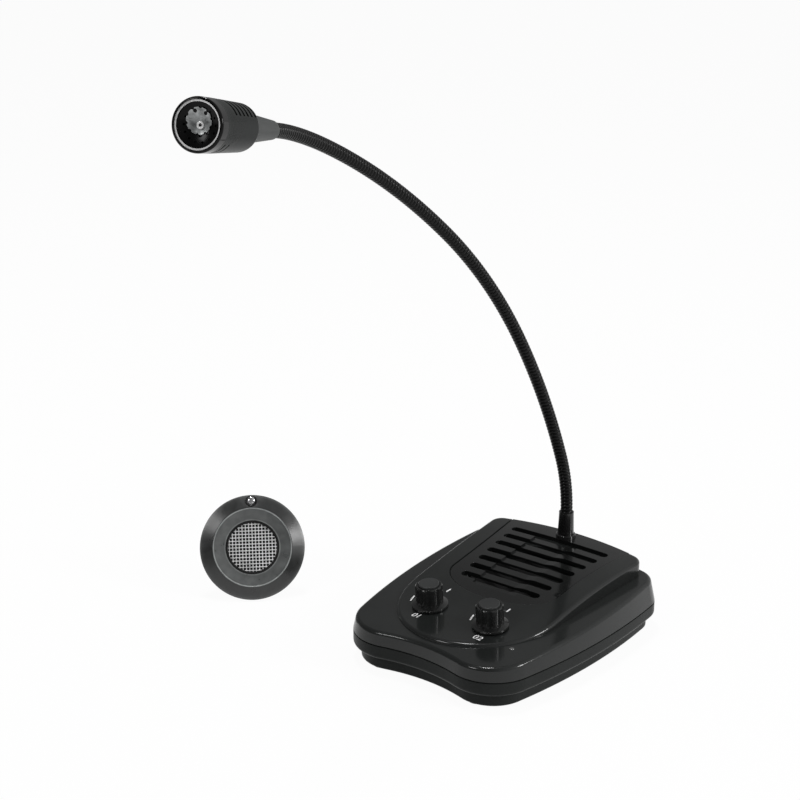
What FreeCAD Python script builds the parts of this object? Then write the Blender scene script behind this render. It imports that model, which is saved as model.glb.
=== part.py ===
import FreeCAD, Part
import math
import os

Vector = FreeCAD.Vector

# Counter intercom: a waisted desk unit with two volume knobs, a slotted
# loudspeaker panel and a gooseneck microphone, and a round outside station.
# Lengths are in millimetres, angles in degrees. X runs to the user's right,
# Y to the back, Z up. The origin is the middle of the footprint on the counter.

# Desk unit in plan: corners and mid-points of its four bowed sides
half_width = 72.4
widest_y = 47.0
waist_y = 82.2
front_corner_inset = 17.8
front_corner_x = half_width - front_corner_inset
front_corner_y = 97.7
rear_corner_inset = 2.6
rear_corner_x = half_width - rear_corner_inset
rear_corner_y = 78.3
rear_mid_y = 89.5
horn_radius = 28.5
rear_radius = 18.5

# Desk unit heights and walls, from the height of the rear sockets
socket_height = 25.9
skirt_bottom = 0.8
band_bottom = 9.5
band_round = 2.8
skirt_round = 1.6
skirt_inset = 5.0
seam_drop = 7.1
seam_height = socket_height - seam_drop
seam_gap = 0.8
ledge_over_sockets = 5.2
ledge_height = socket_height + ledge_over_sockets
ledge_angle = 2.5
ledge_round = 2.6
shell_draft = 2.6
draft_height = 12.0
wall = 2.4
roof = 2.4
floor_thickness = 3.0
lip_inset = 1.2
lip_height = 2.0
overrun = 1.0

# Raised deck
deck_nose_y = 75.0
deck_shoulder_y = 16.0
deck_nose_margin = 18.9
deck_rear_margin = 14.6
deck_half_nose = half_width - deck_nose_margin
deck_half_rear = half_width - deck_rear_margin
deck_corner_y = 76.0
deck_rear_y = 82.5
deck_corner_round = 8.0
deck_round = 2.2
deck_wall = 2.8
deck_sink = 2.9
deck_low = ledge_height - deck_sink
deck_rise = 17.0
deck_crown_radius = 1045.0
deck_place_shares = (-1.35, -1.0, -0.58, -0.267, -0.033, 0.445, 0.867, 1.35)
deck_rise_shares = (0.01, 0.1, 0.224, 0.412, 0.577, 0.835, 0.965, 1.0)

# Slotted panel
panel_nose_y = 18.5
panel_shoulder_y = 4.0
panel_nose_margin = 14.0
panel_rear_margin = 11.4
panel_half_nose = deck_half_nose - panel_nose_margin
panel_half_rear = deck_half_rear - panel_rear_margin
panel_corner_y = 76.0
panel_recess = 0.5
panel_thickness = 2.8
panel_gap = 0.6
panel_round = 0.5
panel_rim = 2.4
panel_floor = 2.2
slot_count = 7
slot_first_y = -1.3
slot_pitch = 11.1
slot_width = 5.6
slot_margin = 9.9
slot_first_half = panel_half_nose - slot_margin
slot_growth = 1.25
channel_left = 17.0
channel_right = 16.0
channel_ramp = 7.0
channel_depth = 1.2
channel_lead = 6.2

# Screws, feet and ballast
boss_radius = 4.4
boss_split = 15.5
front_boss_margin = 24.4
front_boss_x = half_width - front_boss_margin
front_boss_y = 68.0
rear_boss_margin = 17.4
rear_boss_x = half_width - rear_boss_margin
rear_boss_y = 50.0
screw_radius = 1.45
screw_head_radius = 3.0
screw_head_height = 2.2
screw_clearance = 0.2
thread_clearance = 0.02
head_recess = 3.4
screw_reach = 7.0
foot_radius = 6.5
foot_recess = 1.2
foot_clearance = 0.1
foot_chamfer = 0.5
front_foot_margin = 36.4
front_foot_x = half_width - front_foot_margin
front_foot_y = 74.0
rear_foot_margin = 20.4
rear_foot_x = half_width - rear_foot_margin
rear_foot_y = 67.0
ballast_margin = 25.4
ballast_half = half_width - ballast_margin
ballast_front_y = 6.0
ballast_rear_y = 72.0
ballast_thickness = 3.0
ballast_round = 12.0

# Volume knobs and potentiometers
knob_x = 22.9
knob_y = 43.5
knob_tilt = 5.6
knob_gap = 0.7
flange_radius = 11.3
flange_edge = 1.2
flange_height = 2.2
knob_radius = 8.5
knob_height = 14.2
knob_chamfer = 0.6
flute_count = 10
flute_radius = 4.0
flute_depth = 0.6
cap_radius = 7.0
cap_groove = 0.5
cap_groove_depth = 1.0
cap_depth = 2.0
cap_proud = 1.2
cap_chamfer = 0.3
shaft_radius = 2.95
shaft_clearance = 0.05
shaft_bore_clearance = 0.02
shaft_flat = 0.8
shaft_flat_length = 6.0
shaft_top = 11.5
bushing_wall = 0.6
bushing_proud = 3.6
bushing_clearance = 0.1
nut_flat = 9.6
nut_height = 1.9
spot_depth = 0.2
spot_margin = 0.4
knob_hollow_radius = 6.7
knob_hollow_height = 4.4
pot_radius = 8.0
pot_depth = 8.0
pot_seat = 3.4
pot_pad = 1.0
pot_bore_depth = 6.0

# Indicator
lamp_margin = 25.7
lamp_x = half_width - lamp_margin
lamp_y = 55.0
lamp_radius = 1.45
lamp_proud = 0.4
lamp_length = 5.0
lamp_flange = 0.6
lamp_flange_width = 0.8
lamp_clearance = 0.05

# Rear face and its sockets
rear_face_y = 85.4
rear_face_thickness = 2.4
rear_face_half = 33.0
rear_face_reach = 4.9
rear_face_low = socket_height - rear_face_reach
rear_face_high = socket_height + rear_face_reach
rear_face_rim = 1.4
power_x = -22.0
station_socket_x = -6.5
line_socket_x = 5.5
switch_x = 21.5
power_radius = 4.0
power_bore = 2.9
power_pin = 1.05
power_pin_sink = 1.0
power_bore_depth = 9.0
power_body = 8.6
power_body_depth = 10.0
jack_radius = 3.1
jack_bore = 1.8
jack_bore_depth = 13.0
jack_body = 8.4
jack_body_depth = 12.0
jack_proud = 0.6
jack_sink = 0.3
fit_clearance = 0.1
switch_length = 15.0
switch_height = 8.8
switch_rim = 1.0
switch_body_length = 13.0
switch_body_height = 7.2
switch_depth = 10.0
rocker_radius = 5.2
rocker_width = 5.4
rocker_clearance = 0.08
rocker_pivot = 1.0
rocker_valley = 1.4
rocker_slope = 14.0
rocker_throw = 7.0

# Loudspeaker, between the potentiometers and the sockets
speaker_margin = 0.7
speaker_radius = panel_half_nose - speaker_margin
speaker_front_gap = 18.7
speaker_rear_gap = 9.2
speaker_front_share = speaker_front_gap / (speaker_front_gap + speaker_rear_gap)
room_front_y = pot_radius + pot_pad - knob_y
room_rear_y = rear_face_y - rear_face_thickness - jack_body_depth
speaker_spare = room_rear_y - room_front_y - 2 * speaker_radius
speaker_y = room_front_y + speaker_radius + speaker_front_share * speaker_spare
speaker_lift = 1.4
speaker_seat = deck_low + speaker_lift
speaker_flange = 4.4
speaker_hole = speaker_radius - speaker_flange
speaker_ring = 0.6
speaker_ring_radius = speaker_radius + speaker_ring
frame_thickness = 1.0
frame_flange = 6.8
frame_step = speaker_radius - frame_flange
magnet_height = 7.0
magnet_bottom = 9.6
basket_depth = speaker_seat - frame_thickness - magnet_height - magnet_bottom
basket_share = 0.44
basket_radius = basket_share * speaker_radius
magnet_share = 0.41
magnet_radius = magnet_share * speaker_radius
pole_radius = 7.0
cone_flange = 4.8
cone_rim = speaker_radius - cone_flange
cone_rim_height = 0.4
surround_width = 4.0
surround_height = 1.6
cone_paper = 0.6
cone_gap = 3.0
cone_depth = basket_depth - cone_gap
cone_throat = 8.0
dust_cap_height = 3.0
basket_window_count = 6
basket_window_angle = 34.0
basket_window_rim = 2.5
speaker_screw_inset = 1.9
speaker_screw_place = speaker_radius - speaker_screw_inset
small_screw_radius = 1.1
small_head_radius = 1.9
small_head_height = 1.3
small_screw_reach = 3.0

# Main board
board_margin = 2.6
board_half = front_boss_x - boss_radius - board_margin
board_front_y = 66.0
board_rear_y = 22.0
board_bottom = 9.0
board_thickness = 1.6
post_radius = 3.0
post_inset = 4.5
capacitor_radius = 4.0
capacitor_height = 10.5
capacitor_pitch = 9.6
capacitor_count = 3
capacitor_margin = 7.0
capacitor_y = board_front_y - capacitor_margin
chip_size = 11.0
chip_height = 1.8
chip_y = (board_front_y + board_rear_y) / 2
sink_share = 0.585
sink_length = sink_share * board_half
sink_width = 9.0
sink_height = 11.0
sink_base = 2.0
fin_count = 5
fin_slot = 1.6
sink_margin = 7.5
sink_y = board_rear_y + sink_margin
connector_gap = 8.0
connector_clearance = 0.6
connector_width = 6.0
connector_height = 6.0
connector_wall = 1.0

# Gooseneck: five tangent arcs, each with its length, bend and turn of plane
neck_y = 73.2
neck_radius = 4.0
neck_socket = 12.0
neck_clearance = 0.05
neck_lengths = (39.7, 87.3, 99.2, 95.2, 75.4)
neck_bends = (16.1, 11.2, 21.3, 15.8, 28.2)
neck_turns = (-26.9, 11.8, 13.1, 16.6, 32.6)
neck_swing = 25.0
cup_clearance = 0.1
cup_gap = 0.2
ring_nut_radius = 6.4
ring_nut_height = 3.2
ring_nut_round = 0.6
ring_nut_sink = 0.35
ring_nut_margin = 0.3
collar_foot_radius = 5.35
collar_top_radius = 4.85
collar_height = 15.3
stem_radius = 4.0
stem_clearance = 0.05
wire_bore = 1.5
lock_seat_depth = 0.5
lock_nut_flat = 14.0
lock_nut_height = 4.0
lock_nut_margin = 0.4
stem_tail = 2.0

# Microphone head, measured along its axis from the end of the neck
neck_tail = 7.0
boot_rear_radius = 5.0
boot_front_radius = 7.8
boot_length = 36.5
boot_bore_depth = 9.0
boot_flange_radius = 9.5
boot_flange = 2.5
boot_spigot_radius = 5.0
boot_spigot = 3.0
head_radius = 13.0
head_rear_radius = 11.8
head_length = 42.0
head_shoulder = 5.0
head_wall = 1.6
head_slot_count = 6
head_slot_first = 6.0
head_slot_pitch = 4.8
head_slot_width = 2.1
head_slot_angle = 128.0
under_slot_count = 2
under_slot_first = 3.9
under_slot_width = 1.2
under_slot_angle = 100.0
bezel_length = 7.0
bezel_wall = 1.35
bezel_spigot = 3.0
bezel_seat = 0.6
bezel_seat_width = 1.2
dish_rim_height = 4.4
dish_rim = 1.0
dish_depth = 3.2
dish_paper = 1.0
dish_hole = 0.95
dish_hole_count = 8
dish_hole_place = 4.6
dish_fine_hole = 0.55
dish_fine_count = 14
dish_fine_place = 8.0
ferrule_radius = 1.7
ferrule_bore = 0.9
ferrule_proud = 1.2
bright_ring_height = 1.2
head_clearance = 0.05
capsule_radius = 4.8
capsule_length = 6.5
capsule_gap = 0.2
holder_hub = 6.2
holder_arm = 2.6
holder_length = 3.5
holder_arm_count = 3

# Outside station, measured along its axis back from the front crest
station_x = -159.9
station_y = -57.4
station_turn = 43.9
station_radius = 34.9
station_rim_front = 4.5
station_rim_back = 5.7
station_rim_wall = 1.3
step_radius = 26.6
step_depth = 0.6
crest_width = 0.5
crest_slope = 0.3
funnel_radius = 18.7
funnel_depth = 2.2
mouth_radius = 17.9
mouth_depth = 3.2
mesh_radius = 18.3
mesh_bore_clearance = 0.1
mesh_thickness = 0.6
mesh_pitch = 2.19
mesh_hole = 1.45
mesh_field = 17.2
plate_back = 3.9
sleeve_radius = 20.6
sleeve_back = 10.0
housing_radius = 25.1
housing_depth = 28.0
housing_wall = 2.0
unit_rim = 1.2
unit_basket_radius = 16.0
unit_basket_depth = 4.5
unit_magnet_radius = 8.0
unit_magnet_height = 5.0
unit_paper = 0.5
unit_cone_depth = 2.4
station_screw_place = 30.7
screw_pocket = 3.9
screw_pocket_depth = 4.5
lug_radius = 3.6
lug_back = 10.0
station_screw_head = 3.3
station_screw_dome = 1.5
station_screw_length = 6.5
station_jack_drop = 12.0


def save(name, shape):
    """Write one node."""
    shape.exportStep(os.path.join("parts", name + ".step"))


def cos(angle):
    return math.cos(math.radians(angle))


def sin(angle):
    return math.sin(math.radians(angle))


def tan(angle):
    return math.tan(math.radians(angle))


def arc(a, b, c):
    return Part.Arc(a, b, c).toShape()


def box_between(low, high):
    size = high - low
    return Part.makeBox(size.x, size.y, size.z, low)


def rod(radius, low, high, x=0, y=0):
    """Upright cylinder between two heights."""
    return Part.makeCylinder(radius, high - low, Vector(x, y, low))


def tube(outer, inner, low, high, x=0, y=0):
    """Upright ring between two heights."""
    return rod(outer, low, high, x, y).cut(rod(inner, low - overrun, high + overrun, x, y))


def hexagon(flat, low, high):
    """Hexagonal bar about Z, of the given width across its flats."""
    reach = flat / 2 / cos(30)
    corners = [Vector(reach * cos(60 * k), reach * sin(60 * k), low) for k in range(7)]
    return Part.Face(Part.makePolygon(corners)).extrude(Vector(0, 0, high - low))


def turned(points):
    """Solid turned about Z from its (radius, height) corners."""
    corners = [Vector(r, 0, z) for r, z in points]
    face = Part.Face(Part.makePolygon(corners + corners[:1]))
    return face.revolve(Vector(0, 0, 0), Vector(0, 0, 1), 360)


def sector(inner, outer, low, high, start, angle):
    """Part of a ring about Z, swept from a start angle."""
    corners = [
        Vector(inner, 0, low),
        Vector(outer, 0, low),
        Vector(outer, 0, high),
        Vector(inner, 0, high),
    ]
    face = Part.Face(Part.makePolygon(corners + corners[:1]))
    face.rotate(Vector(0, 0, 0), Vector(0, 0, 1), start)
    return face.revolve(Vector(0, 0, 0), Vector(0, 0, 1), angle)


def ring_of(shape, count, start=0):
    """Copies of a shape at equal steps about Z."""
    copies = []
    for k in range(count):
        copy = shape.copy()
        copy.rotate(Vector(0, 0, 0), Vector(0, 0, 1), start + 360 * k / count)
        copies.append(copy)
    return copies


def placed(shape, placement):
    moved = shape.copy()
    moved.Placement = placement.multiply(moved.Placement)
    return moved


def shifted(shape, x, y, z):
    moved = shape.copy()
    moved.translate(Vector(x, y, z))
    return moved


def raised(face, low, high):
    """Prism on a plan face that lies at height zero."""
    return shifted(face, 0, 0, low).extrude(Vector(0, 0, high - low))


def rim_edges(shape, height):
    """Edges that lie in one level plane."""
    reach = overrun / 100
    return [e for e in shape.Edges
            if abs(e.BoundBox.ZMin - height) < reach and abs(e.BoundBox.ZMax - height) < reach]


def upright_edges(shape):
    reach = overrun / 100
    return [e for e in shape.Edges
            if e.BoundBox.ZLength > overrun / 2 and max(e.BoundBox.XLength, e.BoundBox.YLength) < reach]


def top_edges(shape):
    """Outer edges of the highest face."""
    return max(shape.Faces, key=lambda f: f.CenterOfMass.z).OuterWire.Edges


# Plan outlines


def circle_cross(first, first_radius, second, second_radius, near):
    """Crossing of two circles in plan, the one nearer to a point."""
    axis = second - first
    gap = axis.Length
    axis = axis / gap
    along = (first_radius ** 2 - second_radius ** 2 + gap ** 2) / (2 * gap)
    reach = math.sqrt(first_radius ** 2 - along ** 2)
    middle = first + axis * along
    side = Vector(-axis.y, axis.x, 0) * reach
    return min([middle + side, middle - side], key=lambda point: (point - near).Length)


def toward(centre, point, radius):
    """Point at a radius from a centre, in the direction of another point."""
    return centre + (point - centre).normalize() * radius


def mirrored(point):
    return Vector(-point.x, point.y, 0)


def inset_plan(inset):
    """Waisted plan of the desk unit at height zero, drawn in by an inset."""
    front_corner = Vector(front_corner_x, -front_corner_y, 0)
    rear_corner = Vector(rear_corner_x, rear_corner_y, 0)
    front = arc(mirrored(front_corner), Vector(0, -waist_y, 0), front_corner).Curve
    side = arc(front_corner, Vector(half_width, widest_y, 0), rear_corner).Curve
    rear = arc(rear_corner, Vector(0, rear_mid_y, 0), mirrored(rear_corner)).Curve
    horn = circle_cross(front.Center, front.Radius + horn_radius,
                        side.Center, side.Radius - horn_radius, front_corner)
    heel = circle_cross(rear.Center, rear.Radius - rear_radius,
                        side.Center, side.Radius - rear_radius, rear_corner)
    front_end = toward(front.Center, horn, front.Radius + inset)
    side_start = toward(side.Center, horn, side.Radius - inset)
    side_end = toward(side.Center, heel, side.Radius - inset)
    rear_start = toward(rear.Center, heel, rear.Radius - inset)
    horn_mid = toward(horn, (front_end + side_start) / 2, horn_radius - inset)
    heel_mid = toward(heel, (side_end + rear_start) / 2, rear_radius - inset)
    side_mid = toward(side.Center, Vector(half_width, widest_y, 0), side.Radius - inset)
    right = [(front_end, horn_mid, side_start), (side_start, side_mid, side_end),
             (side_end, heel_mid, rear_start)]
    left = [tuple(mirrored(p) for p in reversed(points)) for points in reversed(right)]
    nose = (mirrored(front_end), Vector(0, inset - waist_y, 0), front_end)
    back = (rear_start, Vector(0, rear_mid_y - inset, 0), mirrored(rear_start))
    edges = [arc(*points) for points in [nose] + right + [back] + left]
    return Part.Face(Part.Wire(edges))


def half_ellipse(a, b, y):
    """Edge from (-a, y) round the front to (a, y)."""
    nose = Vector(0, y - b, 0)
    side = Vector(a, y, 0)
    centre = Vector(0, y, 0)
    if b > a:
        return Part.ArcOfEllipse(Part.Ellipse(nose, side, centre), -math.pi / 2, math.pi / 2).toShape()
    return Part.ArcOfEllipse(Part.Ellipse(side, nose, centre), 0, math.pi).toShape()


def tongue(half_nose, nose_y, shoulder_y, half_rear, corner_y, rear_y):
    """Tongue in plan: half-ellipse nose, sides that flare to the rear, bowed rear edge."""
    flare = half_rear - half_nose
    run = corner_y - shoulder_y
    bow = (flare ** 2 + run ** 2) / (2 * flare)
    half = math.asin(run / bow) / 2
    mid_x = half_nose + bow * (1 - math.cos(half))
    mid_y = shoulder_y + bow * math.sin(half)
    right = arc(Vector(half_nose, shoulder_y, 0), Vector(mid_x, mid_y, 0), Vector(half_rear, corner_y, 0))
    rear = arc(Vector(half_rear, corner_y, 0), Vector(0, rear_y, 0), Vector(-half_rear, corner_y, 0))
    left = arc(Vector(-half_rear, corner_y, 0), Vector(-mid_x, mid_y, 0), Vector(-half_nose, shoulder_y, 0))
    nose = half_ellipse(half_nose, shoulder_y - nose_y, shoulder_y)
    return Part.Face(Part.Wire([nose, right, rear, left]))


def deck_face(grow):
    return tongue(deck_half_nose + grow, -deck_nose_y - grow, -deck_shoulder_y,
                  deck_half_rear + grow, deck_corner_y + grow, deck_rear_y + grow)


def panel_face(grow):
    """Panel outline, carried past the rear edge of the deck."""
    past = deck_rear_y - deck_corner_y + overrun
    return tongue(panel_half_nose + grow, -panel_nose_y - grow, panel_shoulder_y,
                  panel_half_rear + grow, panel_corner_y + past, deck_rear_y + past)


def crown_block(drop):
    """All that lies under the crowned deck surface, lowered by a drop."""
    points = []
    for place, rise in zip(deck_place_shares, deck_rise_shares):
        points.append(Vector(0, place * deck_nose_y, deck_low + rise * deck_rise - drop))
    spine = Part.BSplineCurve()
    spine.interpolate(points)
    first, last = points[0], points[-1]
    foot = [last, Vector(0, last.y, 0), Vector(0, first.y, 0), first]
    face = Part.Face(Part.Wire([spine.toShape()] + Part.makePolygon(foot).Edges))
    axis_point = Vector(0, 0, deck_low - deck_crown_radius)
    half = math.degrees(math.asin(half_width / deck_crown_radius))
    face.rotate(axis_point, Vector(0, 1, 0), -half)
    return face.revolve(axis_point, Vector(0, 1, 0), 2 * half)


top_limit = deck_low + 2 * deck_rise
crown = crown_block(0)
panel_top = crown_block(panel_recess)
panel_bottom = crown_block(panel_recess + panel_thickness)
tray_bottom = crown_block(panel_recess + panel_thickness + panel_floor)


def deck_height(x, y):
    """Height of the deck surface above a place in plan."""
    probe = Part.makeLine(Vector(x, y, 0), Vector(x, y, top_limit))
    return probe.common(crown).BoundBox.ZMax


def ledge_z(y):
    return ledge_height + y * tan(ledge_angle)


def knob_frame(x):
    """Knob axis, square to the deck under it."""
    foot = Vector(x, -knob_y, deck_height(x, -knob_y))
    return FreeCAD.Placement(foot, FreeCAD.Rotation(Vector(1, 0, 0), knob_tilt))


lamp_frame = FreeCAD.Placement(Vector(lamp_x, -lamp_y, ledge_z(-lamp_y)),
                               FreeCAD.Rotation(Vector(1, 0, 0), ledge_angle))
knob_frames = [knob_frame(-knob_x), knob_frame(knob_x)]
boss_places = [(-front_boss_x, -front_boss_y), (front_boss_x, -front_boss_y),
               (-rear_boss_x, rear_boss_y), (rear_boss_x, rear_boss_y)]
foot_places = [(-front_foot_x, -front_foot_y), (front_foot_x, -front_foot_y),
               (-rear_foot_x, rear_foot_y), (rear_foot_x, rear_foot_y)]
post_x = board_half - post_inset
post_places = [(x, y) for x in (-post_x, post_x)
               for y in (post_inset - board_front_y, -board_rear_y - post_inset)]
floor_top = skirt_bottom + floor_thickness
lower_top = seam_height - seam_gap / 2
upper_bottom = seam_height + seam_gap / 2
neck_seat = deck_height(0, neck_y) - panel_recess - ring_nut_sink
lock_seat = neck_seat - panel_thickness - panel_floor + lock_seat_depth
collar_foot = neck_seat + ring_nut_height
neck_top = collar_foot + collar_height


# Desk unit, housing


def lower_shell():
    """Tray with a full-width rounded band over an inset skirt."""
    skirt = raised(inset_plan(skirt_inset), skirt_bottom, lower_top)
    skirt = skirt.makeFillet(skirt_round, rim_edges(skirt, skirt_bottom))
    band = raised(inset_plan(0), band_bottom, lower_top)
    band = band.makeFillet(band_round, rim_edges(band, band_bottom))
    lip = raised(inset_plan(lip_inset), lower_top, lower_top + lip_height)
    shell = skirt.fuse(band).fuse(lip)
    shell = shell.cut(raised(inset_plan(skirt_inset + wall), floor_top, lower_top))
    shell = shell.cut(raised(inset_plan(wall), band_bottom + wall, lower_top + lip_height + overrun))
    for x, y in boss_places:
        shell = shell.fuse(rod(boss_radius, floor_top - overrun, boss_split, x, y))
    for x, y in post_places:
        shell = shell.fuse(rod(post_radius, floor_top - overrun, board_bottom, x, y))
    for x, y in boss_places:
        shell = shell.cut(rod(screw_radius + screw_clearance, 0, boss_split + overrun, x, y))
        shell = shell.cut(rod(screw_head_radius + screw_clearance, 0, skirt_bottom + head_recess, x, y))
    for x, y in post_places:
        low = board_bottom - small_screw_reach - overrun
        shell = shell.cut(rod(small_screw_radius + thread_clearance, low, board_bottom + overrun, x, y))
    for x, y in foot_places:
        shell = shell.cut(rod(foot_radius + foot_clearance, 0, skirt_bottom + foot_recess, x, y))
    return shell


def ledge_block(inset, drop):
    """Drafted side walls, closed by the sloping ledge plane lowered by a drop."""
    foot = shifted(inset_plan(inset).OuterWire, 0, 0, upper_bottom)
    head = shifted(inset_plan(inset + 2 * shell_draft).OuterWire, 0, 0, upper_bottom + 2 * draft_height)
    block = Part.makeLoft([foot, head], True, True)
    reach = 2 * front_corner_y
    above = box_between(Vector(-reach, -reach, 0), Vector(reach, reach, reach))
    above.rotate(Vector(0, 0, 0), Vector(1, 0, 0), ledge_angle)
    return block.cut(shifted(above, 0, 0, ledge_height - drop))


def deck_block():
    """Raised tongue with its crowned top."""
    deck = raised(deck_face(0), upper_bottom, top_limit)
    rear = [e for e in upright_edges(deck) if abs(e.CenterOfMass.y - deck_corner_y) < overrun]
    return deck.makeFillet(deck_corner_round, rear).common(crown)


def lip_rebate():
    """Ring that the lower shell's lip fills."""
    ring = raised(inset_plan(lip_inset), upper_bottom - overrun, lower_top + lip_height)
    return ring.cut(raised(inset_plan(wall + overrun), upper_bottom - overrun, lower_top + lip_height))


def upper_shell():
    """Waisted cover with its ledge, deck, panel pocket, bosses and rear face."""
    ledge = ledge_block(0, 0)
    ledge = ledge.makeFillet(ledge_round, top_edges(ledge))
    deck = deck_block()
    deck = deck.makeFillet(deck_round, top_edges(deck))
    outer = ledge.fuse(deck)
    tray = raised(panel_face(panel_gap + panel_rim), upper_bottom, top_limit).cut(tray_bottom)
    inner = ledge_block(wall, roof)
    inner = inner.fuse(raised(deck_face(-deck_wall), upper_bottom, top_limit).common(crown_block(roof)))
    shell = outer.cut(inner.cut(tray))

    rim = rear_face_half + rear_face_rim
    backing = box_between(Vector(-rim, rear_face_y - rear_face_thickness, upper_bottom),
                          Vector(rim, rear_mid_y, rear_face_high + rear_face_rim))
    seat = tube(speaker_ring_radius, speaker_hole, speaker_seat, top_limit, 0, speaker_y)
    pads = [placed(rod(pot_radius + pot_pad, -pot_seat, 0), frame) for frame in knob_frames]
    shell = shell.fuse([backing.common(outer), seat.common(tray_bottom)] + [p.common(outer) for p in pads])
    below_roof = ledge_block(wall - lip_inset, roof / 2)
    shell = shell.fuse([rod(boss_radius, boss_split, top_limit, x, y).common(below_roof)
                        for x, y in boss_places])

    pocket = raised(panel_face(panel_gap), upper_bottom, top_limit).cut(panel_bottom)
    cuts = [pocket, lip_rebate(), rod(speaker_hole, speaker_seat - overrun, top_limit, 0, speaker_y)]
    low = -pot_seat - overrun
    for frame in knob_frames:
        bushing = shaft_radius + shaft_clearance + bushing_wall + bushing_clearance
        cuts.append(placed(rod(bushing, low, overrun), frame))
        cuts.append(placed(rod(nut_flat / 2 / cos(30) + spot_margin, -spot_depth, overrun), frame))
    cuts.append(placed(rod(lamp_radius + lamp_clearance, -roof - overrun, overrun), lamp_frame))
    cuts.append(rod(stem_radius + stem_clearance, lock_seat - overrun, top_limit, 0, neck_y))
    lock_room = lock_nut_flat / 2 / cos(30) + lock_nut_margin
    cuts.append(rod(lock_room, lock_seat - lock_nut_height - stem_tail - overrun, lock_seat, 0, neck_y))
    screw_top = boss_split + screw_reach
    for x, y in boss_places:
        cuts.append(rod(screw_radius + thread_clearance, boss_split - overrun, screw_top, x, y))
    for place in speaker_screw_places():
        top = speaker_seat + small_screw_reach
        cuts.append(rod(small_screw_radius + thread_clearance, speaker_seat - overrun, top, *place))
    cuts.append(box_between(Vector(-rear_face_half, rear_face_y, rear_face_low),
                            Vector(rear_face_half, rear_mid_y + overrun, rear_face_high)))
    back_y = rear_face_y - rear_face_thickness
    cuts.append(box_between(Vector(-rear_face_half, back_y - power_body_depth, rear_face_low),
                            Vector(rear_face_half, back_y, rear_face_high)))
    cuts.append(rear_bar(power_radius + fit_clearance, power_x))
    cuts.append(rear_bar(jack_radius + fit_clearance, station_socket_x))
    cuts.append(rear_bar(jack_radius + fit_clearance, line_socket_x))
    half_x = switch_body_length / 2 + fit_clearance
    half_z = switch_body_height / 2 + fit_clearance
    behind = rear_face_y - 2 * rear_face_thickness
    cuts.append(box_between(Vector(switch_x - half_x, behind, socket_height - half_z),
                            Vector(switch_x + half_x, rear_mid_y, socket_height + half_z)))
    for piece in cuts:
        shell = shell.cut(piece)
    return shell


def rear_bar(radius, x):
    """Level bar through the rear wall at the height of the sockets."""
    start = Vector(x, rear_face_y - 2 * rear_face_thickness, socket_height)
    return Part.makeCylinder(radius, rear_mid_y - start.y, start, Vector(0, 1, 0))


def grille_panel():
    """Crowned tongue insert with seven slots and a channel across its bars."""
    outline = raised(panel_face(0), upper_bottom, top_limit)
    deck = deck_block()
    panel = outline.common(deck).common(panel_top).cut(panel_bottom)
    panel = panel.makeFillet(panel_round, top_edges(panel))
    cuts = []
    for k in range(slot_count):
        y = slot_first_y + k * slot_pitch
        half = slot_first_half + k * slot_growth - slot_width / 2
        bar = box_between(Vector(-half, y - slot_width / 2, upper_bottom),
                          Vector(half, y + slot_width / 2, top_limit))
        ends = [rod(slot_width / 2, upper_bottom, top_limit, x, y) for x in (-half, half)]
        cuts.append(bar.fuse(ends).removeSplitter())
    cuts += channel_cuts()
    cuts.append(rod(ring_nut_radius + ring_nut_margin, neck_seat, top_limit, 0, neck_y))
    cuts.append(rod(stem_radius + stem_clearance, upper_bottom, top_limit, 0, neck_y))
    return panel.cut(cuts)


def channel_cuts():
    """Shallow channel over the bars: flat bed and a ramp on the right."""
    front = slot_first_y - channel_lead
    back = slot_first_y + (slot_count - 1) * slot_pitch
    foot = channel_right - channel_ramp
    bed = box_between(Vector(-channel_left, front, upper_bottom), Vector(foot, back, top_limit))
    ramp = box_between(Vector(foot, front, upper_bottom), Vector(channel_right, back, top_limit))
    tilted = panel_top.copy()
    hinge = Vector(channel_right, 0, (deck_height(0, front) + deck_height(0, back)) / 2)
    tilted.rotate(hinge, Vector(0, 1, 0), -math.degrees(math.atan(channel_depth / channel_ramp)))
    return [bed.cut(crown_block(panel_recess + channel_depth)), ramp.cut(tilted)]


def rubber_feet():
    feet = []
    for x, y in foot_places:
        foot = rod(foot_radius, 0, skirt_bottom + foot_recess, x, y)
        feet.append(foot.makeChamfer(foot_chamfer, rim_edges(foot, 0)))
    return Part.makeCompound(feet)


def case_screws():
    screws = []
    for x, y in boss_places:
        head_top = skirt_bottom + head_recess
        head = rod(screw_head_radius, head_top - screw_head_height, head_top, x, y)
        shank = rod(screw_radius, head_top, boss_split + screw_reach - overrun, x, y)
        screws.append(head.fuse(shank))
    return Part.makeCompound(screws)


def ballast_plate():
    plate = box_between(Vector(-ballast_half, ballast_front_y, floor_top),
                        Vector(ballast_half, ballast_rear_y, floor_top + ballast_thickness))
    return plate.makeChamfer(ballast_round, upright_edges(plate))


def led_lens():
    """Domed lens in the ledge, with its collar under the roof."""
    lens = rod(lamp_radius, -lamp_length, lamp_proud)
    lens = lens.makeFillet(lamp_proud, rim_edges(lens, lamp_proud))
    collar = rod(lamp_radius + lamp_flange_width, -roof - lamp_flange, -roof)
    return placed(lens.fuse(collar), lamp_frame)


# Loudspeaker


def speaker_screw_places():
    reach = speaker_screw_place * cos(45)
    return [(sx * reach, speaker_y + sy * reach) for sx in (-1, 1) for sy in (-1, 1)]


def at_speaker(shape):
    return shifted(shape, 0, speaker_y, speaker_seat)


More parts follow.
